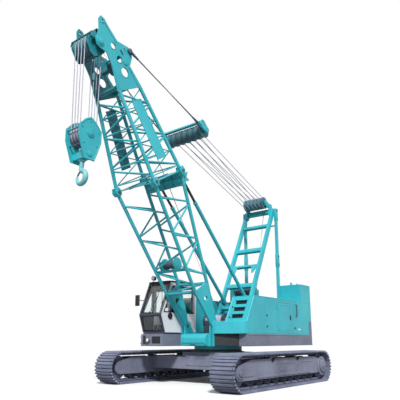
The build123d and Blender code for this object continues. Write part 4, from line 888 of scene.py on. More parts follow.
def deck_seams():
    """Rails, seams and bolts along the skirts of the decks."""
    skirt = Shape()
    low_z, high_z = DECK_LOW + 0.03, DECK_HIGH - 0.02
    for side, front in ((1, HOUSE_FRONT), (-1, DECK_FRONT)):
        y, way = side * SIDE_Y, ACROSS * side
        for z, wide, thick in ((low_z, 0.05, 0.010), (high_z, 0.03, 0.008)):
            skirt.strip((DECK_REAR, y, z), (front - 0.01, y, z), wide, thick, way, 0.003)
        for x in (-2.30, -1.45, -0.60, 0.25):
            skirt.strip((x, y, DECK_LOW + 0.06), (x, y, DECK_HIGH - 0.04), 0.020, 0.006, way, 0.002)
            skirt.bolts([(x + 0.06, y, z) for z in (DECK_LOW + 0.10, DECK_HIGH - 0.09)], way, 0.011, 0.008)
    skirt.strip((DECK_FRONT, -1.50, low_z), (DECK_FRONT, -0.66, low_z), 0.05, 0.010, FRONT, 0.003)
    skirt.finish("deck_seams", "upper", "grey_enamel")


def deck_shade_and_slats():
    """Painted shade of the recess in front of the left deck, as a black block, and of the openings under the
    cab, as black plates behind their slats.
    """
    slats = 4
    dark = Shape()
    # A black block in the front corner of the left deck: painted shade
    recess = [(0.636, 0.648), (1.06, 0.648), (0.70, 1.20), (0.636, 1.24)]
    dark.plate(recess, 1.14, 1.478, place=FACING_UP)
    # Black plates in the openings under the cab: painted shade inside them
    for y0, y1, z0, z1 in ((-1.44, -1.33, 1.17, 1.44), (-1.06, -0.72, 1.20, 1.41)):
        opening = [(y0, z1), (y1, z1), (y1, z0), (y0, z0)]
        dark.plate(opening, DECK_FRONT, DECK_FRONT + 0.006, place=FACING_X)
    for i in range(slats):
        z = 1.235 + i * 0.05
        dark.strip((1.962, -1.05, z), (1.962, -0.73, z), 0.012, 0.014, FRONT, 0.003)
    dark.finish("deck_shade_and_slats", "upper", "primer_and_shade_black")


def lamps():
    """The deck's lamp and the cab's, with their rims."""
    lenses, rims = Shape(), Shape()
    # Centre, lens radius, depth and rounding, and the rim's stand-off and radius
    for centre, radius, thick, bevel, off, rim in (
        ((2.03, -1.19, 1.30), 0.056, 0.006, 0.002, 0.004, 0.061),
        ((1.61, -1.40, 3.25), 0.062, 0.008, 0.003, 0.003, 0.068),
    ):
        lenses.disc(centre, FRONT, radius, thick, bevel)
        rims.ring(Vector(centre) + FRONT * off, FRONT, rim, 0.008, 28, 8)
    lenses.finish("lamp_lenses", "upper", "lamp_lens")
    rims.block((1.50, -1.425, 3.12), (1.64, -1.375, 3.135), 0.004)
    rims.finish("lamp_rims", "upper", "rubber_black_and_shade")


def decks():
    """Deck seams, the painted shade of its recess and openings, lamps, the ledge on the left deck, and the
    caps and trim of the nose.
    """
    deck_seams()
    deck_shade_and_slats()
    lamps()
    ledge = Shape()
    ledge_high = 1.85
    outline = [(0.636, 0.646), (1.12, 0.646), (1.12, 0.72), (0.72, 1.515), (0.636, 1.515)]
    ledge.plate(outline, 1.482, ledge_high, 0.012, FACING_UP)
    ledge.bolts([(1.04 - 0.12 * i, 0.90 + 0.16 * i, ledge_high) for i in range(4)], UP, 0.011, 0.009)
    ledge.finish("front_ledge", "upper", "teal_enamel")
    nose = Shape()
    for side in SIDES:
        way = ACROSS * side
        cap = BOOM_FOOT + way * 0.637
        nose.hub(cap, way, [(0.10, 0.018, 0.005, 32), (0.058, 0.02, 0.005, 28)])
        keeper = cap + way * 0.018 - UP * 0.075
        nose.strip(keeper - FRONT * 0.10, keeper + FRONT * 0.10, 0.04, 0.010, way, 0.003)
        nose.bolts([keeper + way * 0.010 + FRONT * u for u in (-0.08, 0.08)], way, 0.014, 0.010)
        nose.strip((1.285, side * 0.10, 1.155), (1.285, side * 0.42, 1.155), 0.03, 0.014, FRONT, 0.004)
        nose.strip((1.286, side * 0.46, 1.14), (1.286, side * 0.46, 1.36), 0.02, 0.012, FRONT, 0.003)
    nose.strip((1.0, -0.42, DECK_HIGH), (1.0, 0.42, DECK_HIGH), 0.05, 0.02, UP, 0.005)
    nose.finish("boom_foot_caps", "upper", "teal_enamel")


def on_slope(y, level):
    """The point of the left house's sloped front at this height."""
    return Vector((HOUSE_FRONT, y, SLOPE_FOOT)) + SLOPE * ((level - SLOPE_FOOT) / SLOPE.z)


def latch(shape, spot, way, reach, radius, wide):
    """A round escutcheon with its turning bar."""
    thick = 0.010
    face = Vector(spot) + way * thick
    shape.disc(spot, way, radius, thick)
    shape.strip(face - reach, face + reach, wide, 0.012, way, 0.003)


def roof_hatch(shape, x0, x1, y0, y1, inset):
    """A bolted hatch on a house's roof."""
    top = HOUSE_HIGH + 0.025
    shape.block((x0, y0, HOUSE_HIGH), (x1, y1, top), 0.008)
    rows = [(x, y, top) for x in (x0 + inset, (x0 + x1) / 2, x1 - inset) for y in (y0 + 0.04, y1 - 0.04)]
    shape.bolts(rows, UP, 0.010, 0.008)


def house_vents(vents, hoods):
    """Three louvred vents in the sloped front, each under its hood, their black blades and back plates
    painted shade inside the vent.
    """
    for z in (1.95, 2.165, 2.38):
        for i in range(3):
            level = z + 0.022 + i * 0.036
            x = on_slope(0, level).x - 0.02
            vents.strip((x, 0.935, level), (x, 1.325, level), 0.034, 0.005, FRONT + UP)
        # A black plate behind the blades: painted shade inside the vent
        back = on_slope(0, z + 0.055) - SLOPE_OUT * 0.085
        vents.strip((back.x, 0.90, back.z), (back.x, 1.36, back.z), 0.12, 0.005, SLOPE_OUT)
        hood_z = z + 0.115
        hoods.strip(on_slope(0.90, hood_z), on_slope(1.36, hood_z), 0.018, 0.035, SLOPE_OUT, 0.004)
        for y in (0.918, 1.342):
            hoods.strip(on_slope(y, z - 0.005), on_slope(y, hood_z), 0.014, 0.014, SLOPE_OUT, 0.003)


def house_left():
    """Louvres, handle, latches, seams and roof trim of the left house, and its door's trim."""
    vents, hoods = Shape(), Shape()
    house_vents(vents, hoods)
    vents.finish("vent_louvres_painted_shade", "upper", "primer_and_shade_black")
    for y in (0.80, 1.46):
        foot = Vector((HOUSE_FRONT, y, SLOPE_FOOT))
        hoods.strip(foot + SLOPE * 0.06, foot + SLOPE * 0.84, 0.016, 0.006, SLOPE_OUT, 0.002)
    edge = [(HOUSE_FRONT, 1.50), (0.632, SLOPE_FOOT), (0.196, 2.632), (HOUSE_REAR, 2.632)]
    for y in (SIDE_Y - EDGE, HOUSE_INNER):
        hoods.rail([(x, y, z) for x, z in edge], 0.018)
    for x, z, radius in ((0.636, 1.847, 0.014), (0.198, 2.630, 0.016)):
        hoods.rail([(x, 0.76, z), (x, 1.51, z)], radius)
    for x in (-0.42, -1.16, -2.30):
        hoods.strip((x, SIDE_Y, 1.53), (x, SIDE_Y, 2.60), 0.016, 0.004, LEFT, 0.001)
        hoods.strip((x, 0.78, HOUSE_HIGH), (x, 1.50, HOUSE_HIGH), 0.02, 0.006, UP, 0.002)
    hoods.strip((HOUSE_REAR, SIDE_Y, 1.525), (0.62, SIDE_Y, 1.525), 0.03, 0.006, LEFT, 0.002)
    roof_hatch(hoods, -1.05, -0.35, 0.92, 1.36, 0.05)
    hoods.finish("left_house_trim", "upper", "teal_enamel")
    dark = Shape()
    grip_y = SIDE_Y + 0.05
    grip = [(SIDE_Y, 2.10), (grip_y, 2.11), (grip_y, 2.49), (SIDE_Y, 2.50)]
    dark.rail([(-2.52, y, z) for y, z in grip], 0.013)
    for x, z in ((-0.52, 2.06), (-0.52, 1.72), (-2.42, 1.70)):
        latch(dark, (x, SIDE_Y, z), LEFT, FRONT * 0.03, 0.032, 0.014)
    for z in (1.98, 2.30):
        dark.disc(on_slope(0.855, z), SLOPE_OUT, 0.026, 0.012)
    dark.finish("left_house_latches", "upper", "rubber_black_and_shade")
    plate = Shape()
    plate.strip((-2.82, SIDE_Y, 1.66), (-2.66, SIDE_Y, 1.66), 0.05, 0.004, LEFT, 0.001)
    plate.finish("blank_plate", "upper", "white_enamel")
    door, handle = Shape(), Shape()
    door.surround(upright(-2.10, -1.31, 1.64, 2.44, SIDE_Y), 0.022, 0.005, LEFT)
    door.finish("house_door_pressing", "house_door", "teal_enamel")
    handle_y = SIDE_Y + 0.012
    handle.block((-2.135, SIDE_Y, 1.97), (-2.075, handle_y, 2.11), 0.004)
    handle.strip((-2.105, handle_y, 1.985), (-2.105, handle_y, 2.095), 0.018, 0.016, LEFT, 0.004)
    handle.finish("house_door_latch", "house_door", "rubber_black_and_shade")


def house_right():
    """Doors, louvres with painted shade under each blade, and seams of the right house and its roof."""
    louvres, louvre_pitch = 9, 0.075
    trim, dark = Shape(), Shape()
    y = -SIDE_Y
    for x0, x1 in ((-2.86, -2.02), (-1.94, -0.86), (-0.78, 0.24)):
        trim.surround(upright(x0, x1, 1.56, 2.56, y), 0.022, 0.006, RIGHT)
        latch(dark, (x1 - 0.08, y, 2.06), RIGHT, UP * 0.05, 0.030, 0.016)
    for i in range(louvres):
        z = 1.72 + i * louvre_pitch
        trim.strip((-1.80, y, z), (-1.02, y, z), 0.030, 0.016, RIGHT, 0.005)
        # A black strip under each louvre blade: painted shade in the gap below it
        dark.strip((-1.80, y, z - 0.030), (-1.02, y, z - 0.030), 0.024, 0.003, RIGHT)
    for edge_y in (y + EDGE, -HOUSE_INNER):
        trim.rail([(x, edge_y, 2.632) for x in (HOUSE_REAR, 0.32)], 0.018)
    roof_hatch(trim, -2.60, -1.50, -1.40, -0.88, 0.06)
    trim.finish("right_house_trim", "upper", "teal_enamel")
    dark.finish("right_house_latches_and_louvre_shade", "upper", "rubber_black_and_shade")


def counterweight():
    """Edges, tie bolts and the seams of the weights and their tray."""
    outer, step_z, eye_high, washer = SIDE_Y - EDGE, 2.66, 0.02, 0.008
    trim, tray = Shape(), Shape()
    for side in SIDES:
        y, way = side * SIDE_Y, ACROSS * side
        trim.strip((-3.70, y, 2.615), (-2.98, y, 2.615), 0.02, 0.006, way, 0.002)
        for rail_y, low in ((outer, 1.98), (WEIGHT_INNER, step_z)):
            front = [(WEIGHT_FRONT, z) for z in (step_z, WEIGHT_HIGH)]
            rear = [(WEIGHT_REAR, z) for z in (WEIGHT_HIGH, low)]
            trim.rail([(x, side * rail_y, z) for x, z in front + rear], 0.016)
        for x in (WEIGHT_FRONT, WEIGHT_REAR):
            trim.rail([(x, side * rail_y, WEIGHT_HIGH) for rail_y in (WEIGHT_INNER, outer)], 0.016)
        for x in (-3.50, -3.19):
            eye = Vector((x, side * 1.095, 3.26))
            trim.disc(eye, UP, 0.05, eye_high)
            trim.bolts([eye + UP * eye_high], UP, 0.026, 0.02)
        tray.strip((-3.72, y, 1.15), (-2.97, y, 1.15), 0.05, 0.010, way, 0.003)
        tray.bolts([(x, y, z) for x in (-3.68, -3.55) for z in (1.60, 1.85)], way, 0.016, 0.012)
    for y in (-1.10, -0.37, 0.37, 1.10):
        trim.disc((TAIL_X, y, 2.30), REAR, 0.06, washer)
        trim.bolts([(TAIL_X - washer, y, 2.30)], REAR, 0.03, 0.014)
    trim.finish("counterweight_trim", "upper", "teal_enamel")
    tray.strip((TAIL_X, -1.50, 1.45), (TAIL_X, 1.50, 1.45), 0.03, 0.008, REAR, 0.003)
    rows = [(TAIL_X, y, z) for y in (-1.40, -0.70, 0.0, 0.70, 1.40) for z in (1.25, 1.75)]
    tray.bolts(rows, REAR, 0.022, 0.012)
    tray.finish("counterweight_tray_bolts", "upper", "grey_enamel")


def front_plane(low, high):
    """A matrix on a front window, with X across the cab and Y up the glass, and the window's length."""
    along = (high - low).normalized()
    return Matrix.Translation(low) @ turned_to(ACROSS, along, ACROSS.cross(along)), (high - low).length


def front_window(low, high, posts, panes, gaskets):
    """Posts, glass and gasket of one front window of the cab."""
    panel, length = front_plane(low, high)
    post, beam, deep = 0.05, 0.045, -0.05
    for y0, y1, u0, u1 in (
        (CAB_OUTER, CAB_INNER, 0, beam),
        (CAB_OUTER, CAB_INNER, length - beam, length),
        (CAB_OUTER, CAB_OUTER + post, 0, length),
        (CAB_INNER - post, CAB_INNER, 0, length),
    ):
        posts.block((y0, u0, deep), (y1, u1, 0), 0.008, panel, 1)
    inset = 0.04
    low_corner, high_corner = (CAB_OUTER + inset, inset, -0.028), (CAB_INNER - inset, length - inset, -0.022)
    panes.block(low_corner, high_corner, 0, panel)
    y0, y1 = CAB_OUTER + 0.056, CAB_INNER - 0.056
    u0, u1 = 0.051, length - 0.051
    gaskets.surround([(y0, u0, 0), (y1, u0, 0), (y1, u1, 0), (y0, u1, 0)], 0.018, 0.006, UP, panel)


def sun_blind(panel, length):
    """The blind on its roller behind the top of the windscreen."""
    blind = Shape()
    y0, y1 = CAB_OUTER + 0.07, CAB_INNER - 0.07
    blind.block((y0, length - 0.28, -0.058), (y1, length - 0.075, -0.054), 0.001, panel)
    roller, hem = length - 0.065, length - 0.285
    blind.bar((y0, roller, -0.070), (y1, roller, -0.070), 0.018, 14, place=panel)
    blind.bar((y0 + 0.01, hem, -0.056), (y1 - 0.01, hem, -0.056), 0.006, 10, place=panel)
    blind.finish("cab_sun_blind", "upper", "window_dark")


def cab_gaskets(black, panel):
    """Gaskets of the side and rear windows, wiper, mirror, inner vent, hand rail and roof visor."""
    black.surround([(x, CAB_INNER, z) for x, z in LEFT_WINDOW], 0.032, 0.010, LEFT)
    black.strip((1.10, CAB_INNER, CAB_SILL), (1.10, CAB_INNER, CAB_LINTEL), 0.026, 0.008, LEFT, 0.002)
    black.surround([(x, CAB_OUTER, z) for x, z in QUARTER_WINDOW], 0.026, 0.010, RIGHT)
    y0, y1, z0 = CAB_OUTER + 0.16, CAB_INNER - 0.16, 2.66
    rear = [(y0, z0), (y1, z0), (y1, CAB_LINTEL), (y0, CAB_LINTEL)]
    black.surround([(CAB_REAR, y, z) for y, z in rear], 0.030, 0.010, REAR)
    # The wiper, on the windscreen's own plane
    black.disc((-1.09, 0.07, 0), UP, 0.028, 0.04, place=panel)
    black.bar((-1.09, 0.07, 0.035), (-0.97, 0.62, 0.020), 0.008, 8, place=panel)
    black.bar((-0.97, 0.82, 0.016), (-0.97, 0.40, 0.016), 0.010, 6, place=panel)
    black.block((1.922, -1.823, 2.357), (1.976, -1.667, 2.703), 0.018)
    vent = Vector((1.62, CAB_INNER, 2.03))
    black.disc(vent, LEFT, 0.10, 0.020)
    black.ring(vent + LEFT * 0.020, LEFT, 0.085, 0.014, 28, 8)
    grip_y = CAB_OUTER - 0.055
    grip = [(CAB_OUTER, 1.72), (grip_y, 1.74), (grip_y, 2.10), (CAB_OUTER, 2.12)]
    black.rail([(1.48, y, z) for y, z in grip], 0.012)
    black.strip((0.36, CAB_INNER, 1.50), (1.86, CAB_INNER, 1.50), 0.03, 0.008, LEFT, 0.002)
    black.block((1.60, CAB_OUTER + 0.02, 3.085), (1.70, CAB_INNER - 0.02, 3.115), 0.010)
    black.finish("cab_gaskets", "upper", "rubber_black_and_shade")


def cab_roof_trim():
    """The roof's raised panels, and the tubes along its edges and down the front corners."""
    roof = Shape()
    for x0, x1, inset, z0, z1, bevel in (
        (0.40, 1.42, 0.08, 3.12, 3.150, 0.012),
        (0.72, 1.22, 0.22, 3.150, 3.166, 0.008),
    ):
        roof.block((x0, CAB_OUTER + inset, z0), (x1, CAB_INNER - inset, z1), bevel)
    for y in (CAB_OUTER, CAB_INNER):
        roof.rail([(0.345, y, 3.108), (1.625, y, 3.108)], 0.014)
        roof.rail([(1.632, y, 3.07), (2.048, y, 2.07), (1.866, y, 1.54)], 0.016)
    roof.finish("cab_roof_trim", "upper", "cab_grey")


def cab_door_trim():
    """Gasket, glazing bar, handle and pressing of the cab's door."""
    door, press = Shape(), Shape()
    door.surround(upright(0.71, 1.34, CAB_SILL, 2.90, CAB_OUTER), 0.030, 0.008, RIGHT)
    door.strip((1.025, CAB_OUTER, CAB_SILL), (1.025, CAB_OUTER, 2.90), 0.024, 0.006, RIGHT, 0.002)
    door.strip((1.30, CAB_OUTER, 1.98), (1.42, CAB_OUTER, 1.98), 0.060, 0.010, RIGHT, 0.003)
    handle_y = CAB_OUTER - 0.010
    door.strip((1.31, handle_y, 1.985), (1.41, handle_y, 1.985), 0.020, 0.018, RIGHT, 0.005)
    door.finish("cab_door_trim", "cab_door", "rubber_black_and_shade")
    press.surround(upright(0.70, 1.25, 1.68, 2.06, CAB_OUTER), 0.02, 0.005, RIGHT)
    press.finish("cab_door_pressing", "cab_door", "white_enamel")


def cab_glazing():
    """Windows with posts and gaskets, blind, wiper, mirror, rails, roof and door trim of the cab."""
    posts, panes, black, mirror = Shape(), Shape(), Shape(), Shape()
    front_window(CAB_TOE, CAB_KNEE, posts, panes, black)
    front_window(CAB_KNEE, CAB_BROW, posts, panes, black)
    panel, length = front_plane(CAB_KNEE, CAB_BROW)
    sun_blind(panel, length)
    posts.finish("cab_front_posts", "upper", "cab_grey", replaced=["cab_front"])
    half_wall, half_glass = 0.025, 0.003
    for outline, y in ((LEFT_WINDOW, CAB_INNER - half_wall), (QUARTER_WINDOW, CAB_OUTER + half_wall)):
        panes.plate(outline, y - half_glass, y + half_glass)
    panes.block((0.352, CAB_OUTER + 0.15, 2.14), (0.358, CAB_INNER - 0.15, 2.97))
    panes.finish("cab_panes", "upper", "window_glass", replaced=["cab_glass"])
    cab_gaskets(black, panel)
    cab_roof_trim()
    mirror.strip((1.922, -1.745, 2.385), (1.922, -1.745, 2.675), 0.115, 0.003, REAR)
    mirror.finish("mirror_glass", "upper", "mirror_silver")
    cab_door_trim()


def cab_controls():
    """Levers, screen, pedals, arm rests and floor mat."""
    lever_y, screen_x = -0.785, 1.575
    gear, screen = Shape(), Shape()
    gear.block((0.78, -0.868, 2.09), (1.36, -0.702, 2.118), 0.010)
    for i, x in enumerate((0.98, 1.09, 1.20, 1.31)):
        top = Vector((x + 0.03, lever_y, 2.30 - 0.012 * (i % 2)))
        gear.bar((x, lever_y, 2.115), top, 0.009, 8)
        gear.bar(top, top + Vector((0.005, 0, 0.065)), 0.017, 12, 0.022, 0.004)
        gear.bar((x, lever_y, 2.112), (x, lever_y, 2.150), 0.026, 12, 0.012)
    gear.bar((1.52, -0.90, 1.535), (1.60, -0.90, 2.30), 0.016, 10)
    gear.block((screen_x, -1.02, 2.28), (screen_x + 0.04, -0.78, 2.46), 0.012)
    for y in (-1.22, -1.08, -0.96):
        gear.block((1.62, y - 0.045, 1.60), (1.66, y + 0.045, 1.76), 0.008)
        gear.bar((1.64, y, 1.53), (1.64, y, 1.62), 0.012, 8)
    gear.block((0.45, -1.44, CAB_FLOOR), (1.78, -0.72, CAB_FLOOR + 0.009), 0.004)
    gear.block((0.70, -1.345, 2.12), (1.02, -1.275, 2.16), 0.014)
    gear.block((0.60, -1.33, 1.70), (0.66, -1.29, 2.14), 0.008)
    gear.finish("cab_controls", "upper", "rubber_black_and_shade")
    screen.strip((screen_x, -1.00, 2.37), (screen_x, -0.80, 2.37), 0.14, 0.003, REAR)
    screen.finish("cab_screen", "upper", "window_dark")


def swell(piece):
    """Blow a pad up as cloth, with its swelling capped."""
    scene = bpy.context.scene
    rest = [v.co.copy() for v in piece.data.vertices]
    cloth = piece.modifiers.new("cloth", "CLOTH")
    cloth.settings.use_pressure = True
    cloth.settings.uniform_pressure_force = PAD_PRESSURE
    cloth.settings.effector_weights.gravity = 0
    cloth.point_cache.frame_end = PAD_FRAMES
    for step in range(1, PAD_FRAMES + 1):
        scene.frame_set(step)
    swollen = piece.evaluated_get(bpy.context.evaluated_depsgraph_get()).data
    moved = [v.co.copy() for v in swollen.vertices]
    piece.modifiers.clear()
    for vertex, start, end in zip(piece.data.vertices, rest, moved):
        shift = end - start
        vertex.co = start + shift * min(1, PAD_SWELL / max(shift.length, 1e-9))
    scene.frame_set(1)


def cushion(name, low, high, rounding):
    """A sewn pad: a rounded block in small faces, blown up as cloth."""
    blank = Shape()
    blank.block(low, high, rounding, segments=4)
    piece = linked(name, blank.to_mesh(name))
    voxels = piece.modifiers.new("voxels", "REMESH")
    voxels.mode = "VOXEL"
    voxels.voxel_size = PAD_VOXEL
    piece.data = evaluated(piece)
    piece.modifiers.clear()
    swell(piece)
    piece.data.name = name
    for face in piece.data.polygons:
        face.use_smooth = True
    piece.data.materials.clear()
    piece.data.materials.append(finish_of("seat_cloth"))
    return piece


def seat():
    """The operator's seat: two padded cushions and a head rest on a steel frame over bellows."""
    for name, low, high, replaced in (
        ("seat_cushion", (0.775, -1.315, 1.862), (1.225, -0.865, 1.945), ["operator_seat"]),
        ("seat_back_cushion", (0.655, -1.315, 1.965), (0.745, -0.865, 2.425), []),
        ("seat_head_rest", (0.665, -1.215, 2.465), (0.735, -0.965, 2.588), []),
    ):
        piece = cushion(name, low, high, 0.035)
        seat_piece(piece, "upper", replaced)
    shell = Shape()
    shell.block((0.765, -1.325, 1.840), (1.232, -0.855, 1.862), 0.010)
    shell.block((0.642, -1.300, 1.86), (0.662, -0.880, 2.43), 0.008)
    shell.block((0.642, -1.300, 1.84), (0.80, -0.880, 1.866), 0.008)
    for y in (-1.14, -1.04):
        shell.bar((0.70, y, 2.41), (0.70, y, 2.50), 0.008, 8)
    x0, x1, y0, y1, foot_z = 0.90, 1.10, -1.19, -0.99, 1.56
    shell.block((x0, y0, CAB_FLOOR), (x1, y1, foot_z), 0.008)
    folds, fold_high, fold_deep = 5, 0.056, 0.012
    for i in range(folds):
        z, inset = foot_z + i * fold_high, fold_deep * (i % 2)
        shell.block((x0 + inset, y0 + inset, z), (x1 - inset, y1 - inset, z + fold_high), 0.012)
    shell.finish("seat_frame", "upper", "rubber_black_and_shade", "seat_cover")


def chord_centre(s, side, upper):
    """The centre of one of the boom's four chords at a distance along the boom."""
    if s < JOINT_AT:
        share, narrowing, thinning = (JOINT_AT - s) / FOOT_LENGTH, FOOT_NARROWING, FOOT_THINNING
    else:
        share, narrowing = (s - JOINT_AT) / TOP_LENGTH, TOP_NARROWING
        thinning = TOP_THINNING_UPPER if upper else TOP_THINNING_LOWER
    depth = JOINT_HALF_DEPTH - share * thinning
    return Vector((s, side * (JOINT_HALF_WIDTH - share * narrowing), depth if upper else -depth))


def boom_bracing():
    """Thin counter-bracing inside the top section: crossed on its sides, square across its faces."""
    braces = Shape()
    for i, (low, high) in enumerate(zip(TOP_NODES, TOP_NODES[1:])):
        for side in SIDES:
            inward = ACROSS * -side * 0.050
            ends = chord_centre(low, side, i % 2 == 1), chord_centre(high, side, i % 2 == 0)
            braces.bar(ends[0] + inward, ends[1] + inward, 0.016, 10, place=BOOM)
    # Sway diagonals across the boom, at three of the nodes
    for turn, s in ((-1, TOP_NODES[0]), (1, TOP_NODES[1]), (-1, TOP_NODES[4])):
        braces.bar(chord_centre(s, turn, True), chord_centre(s, -turn, False), 0.017, 10, place=BOOM)
    for s in TOP_NODES[:-1]:
        for upper in (True, False):
            braces.bar(chord_centre(s, 1, upper), chord_centre(s, -1, upper), 0.019, 12, place=BOOM)
        for side in SIDES:
            braces.bar(chord_centre(s, side, True), chord_centre(s, side, False), 0.017, 10, place=BOOM)
    braces.finish("boom_bracing", "boom", "teal_enamel")


def chord_fittings(teal, steel):
    """Round bosses, pins and collars at the joint, and a collar at each node of the chords."""
    lug, boss, flange = 0.055, 0.036, 0.088
    for upper in (True, False):
        for side in SIDES:
            joint = chord_centre(JOINT_AT, side, upper)
            for face in SIDES:
                way = ACROSS * face
                teal.disc(joint + way * lug, way, 0.113, boss, 0.008, 32, BOOM)
                pin = joint + way * (lug + boss)
                steel.disc(pin, way, 0.045, 0.02, 0.005, 24, BOOM)
                cotter = pin + way * 0.010
                steel.bar(cotter - UP * 0.07, cotter + UP * 0.07, 0.006, 6, place=BOOM)
            for off in (-0.115, 0.115):
                teal.ring(joint + FRONT * off, FRONT, 0.062, 0.016, 20, 8, BOOM)
            corner = Vector((0.008, flange, flange))
            teal.block(joint - corner, joint + corner, 0.003, BOOM)
            for s in FOOT_NODES + TOP_NODES:
                teal.ring(chord_centre(s, side, upper), FRONT, 0.053, 0.007, 18, 6, BOOM)
    for y in (-0.35, 0.35):
        for way in (REAR, FRONT):
            face = Vector((JOINT_AT, y, 0)) + way * 0.012
            teal.strip(face - UP * 0.50, face + UP * 0.50, 0.04, 0.03, way, 0.006, BOOM)
    s = JOINT_AT - 0.012
    teal.strip((s, -0.60, -0.02), (s, 0.60, -0.02), 0.05, 0.03, REAR, 0.006, BOOM)


def foot_fittings(teal, steel):
    """Lips and ribs on the foot plates, the tie between them, and the sheave over the foot section."""
    for side in SIDES:
        for face in SIDES:
            y = side * FOOT_PLATE_Y + face * FOOT_PLATE_HALF
            teal.ring((0.90, y, 0), ACROSS, 0.094, 0.010, 32, 6, BOOM)
            for n in SIDES:
                ends = (0.30, y, n * 0.17), (1.22, y, n * 0.335)
                teal.strip(*ends, 0.022, 0.010, ACROSS * face, 0.003, BOOM)
    tie_s, tie_y, tie_n = 1.27, 0.53, 0.31
    for n in (-tie_n, tie_n):
        teal.shaft(tie_s, n, tie_y, 0.045, 18, place=BOOM)
    teal.bar((tie_s, -tie_y, -tie_n), (tie_s, tie_y, tie_n), 0.03, 14, place=BOOM)
    sheave_s, sheave_n, cheek_ys = 2.12, -0.06, (-0.46, 0.02)
    for y in cheek_ys:
        teal.disc((sheave_s, y, sheave_n), ACROSS, 0.20, 0.016, 0.004, 32, BOOM)
    ends = [(sheave_s, y, sheave_n) for y in cheek_ys]
    steel.bar(*ends, 0.13, 28, place=BOOM)
    teal.plate([(1.96, -0.30), (2.30, -0.32), (2.24, 0.10), (2.02, 0.10)], -0.478, -0.462, place=BOOM)
    teal.block((1.98, -0.60, -0.38), (2.06, 0.60, -0.32), 0.008, BOOM)


def stop_beam_fittings(teal, steel):
    """Star brackets, deck plate and ribs of the stop beam, the rope roller on it and the stops' pins."""
    star = [
        (4.24, 0.60), (4.34, 0.72), (4.33, 0.93), (4.45, 0.84),
        (4.60, 0.98), (4.57, 0.79), (4.76, 0.76), (4.66, 0.60),
    ]
    inner, outer, thick = 0.60, 0.70, 0.018
    s, roller_n = STOP_ROLLER.x, STOP_ROLLER.z
    cheek, cheek_in, cheek_out = [(4.39, 0.66), (4.51, 0.66), (4.48, 0.76), (4.42, 0.76)], 0.102, 0.116
    for side in SIDES:
        for y in (inner, outer):
            teal.plate(star, side * y, side * (y + thick), 0.003, BOOM)
        teal.bar((s, side * inner, 0.72), (s, side * (outer + thick), 0.72), 0.05, 20, place=BOOM)
        teal.plate(cheek, side * cheek_in, side * cheek_out, place=BOOM)
        steel.disc((s, side * cheek_out, roller_n), ACROSS * side, 0.022, 0.012, 0.003, 16, BOOM)
        steel.disc((STOP_EYE.x, side * 0.404, STOP_EYE.z), ACROSS * -side, 0.05, 0.02, 0.005, 24, BOOM)
    steel.shaft(s, roller_n, 0.10, STOP_ROLLER_R, 24, 0.006, BOOM)
    teal.plate([(4.27, 0.575), (4.68, 0.612), (4.68, 0.628), (4.27, 0.591)], -0.70, 0.70, place=BOOM)
    for y in (-0.35, 0.0, 0.35):
        rib = [(4.29, 0.575), (4.66, 0.61), (4.66, 0.54), (4.29, 0.52)]
        teal.plate(rib, y - 0.008, y + 0.008, place=BOOM)


def panel_rims(teal, steel):
    """Rims and bolts on the outside of the boom's side panels."""
    low, high, rim = -0.15, 0.23, 0.006

    def on_panel(s, side, n, off=0.0):
        return Vector((s, side * (JOINT_HALF_WIDTH + PANEL_LEAN * (s - JOINT_AT) + PANEL_FACE + off), n))

    for side in SIDES:
        way = (-PANEL_LEAN, side, 0)
        corners = [on_panel(s, side, n) for s, n in ((5.23, low), (6.93, low), (6.93, high), (5.23, high))]
        teal.surround(corners, 0.018, rim, way, BOOM)
        spots = [on_panel(s, side, n, rim) for s in (5.26, 5.82, 6.36, 6.90) for n in (low, high)]
        steel.bolts(spots, way, 0.009, 0.007, BOOM)


def boom_fittings():
    """Joint pins, collars on the chords, foot tie, hole lips, panel rims and the roller on the stop beam."""
    teal, steel = Shape(), Shape()
    for fit in (chord_fittings, foot_fittings, stop_beam_fittings, panel_rims):
        fit(teal, steel)
    teal.finish("boom_fittings", "boom", "teal_enamel")
    steel.finish("boom_pins", "boom", "turned_steel")


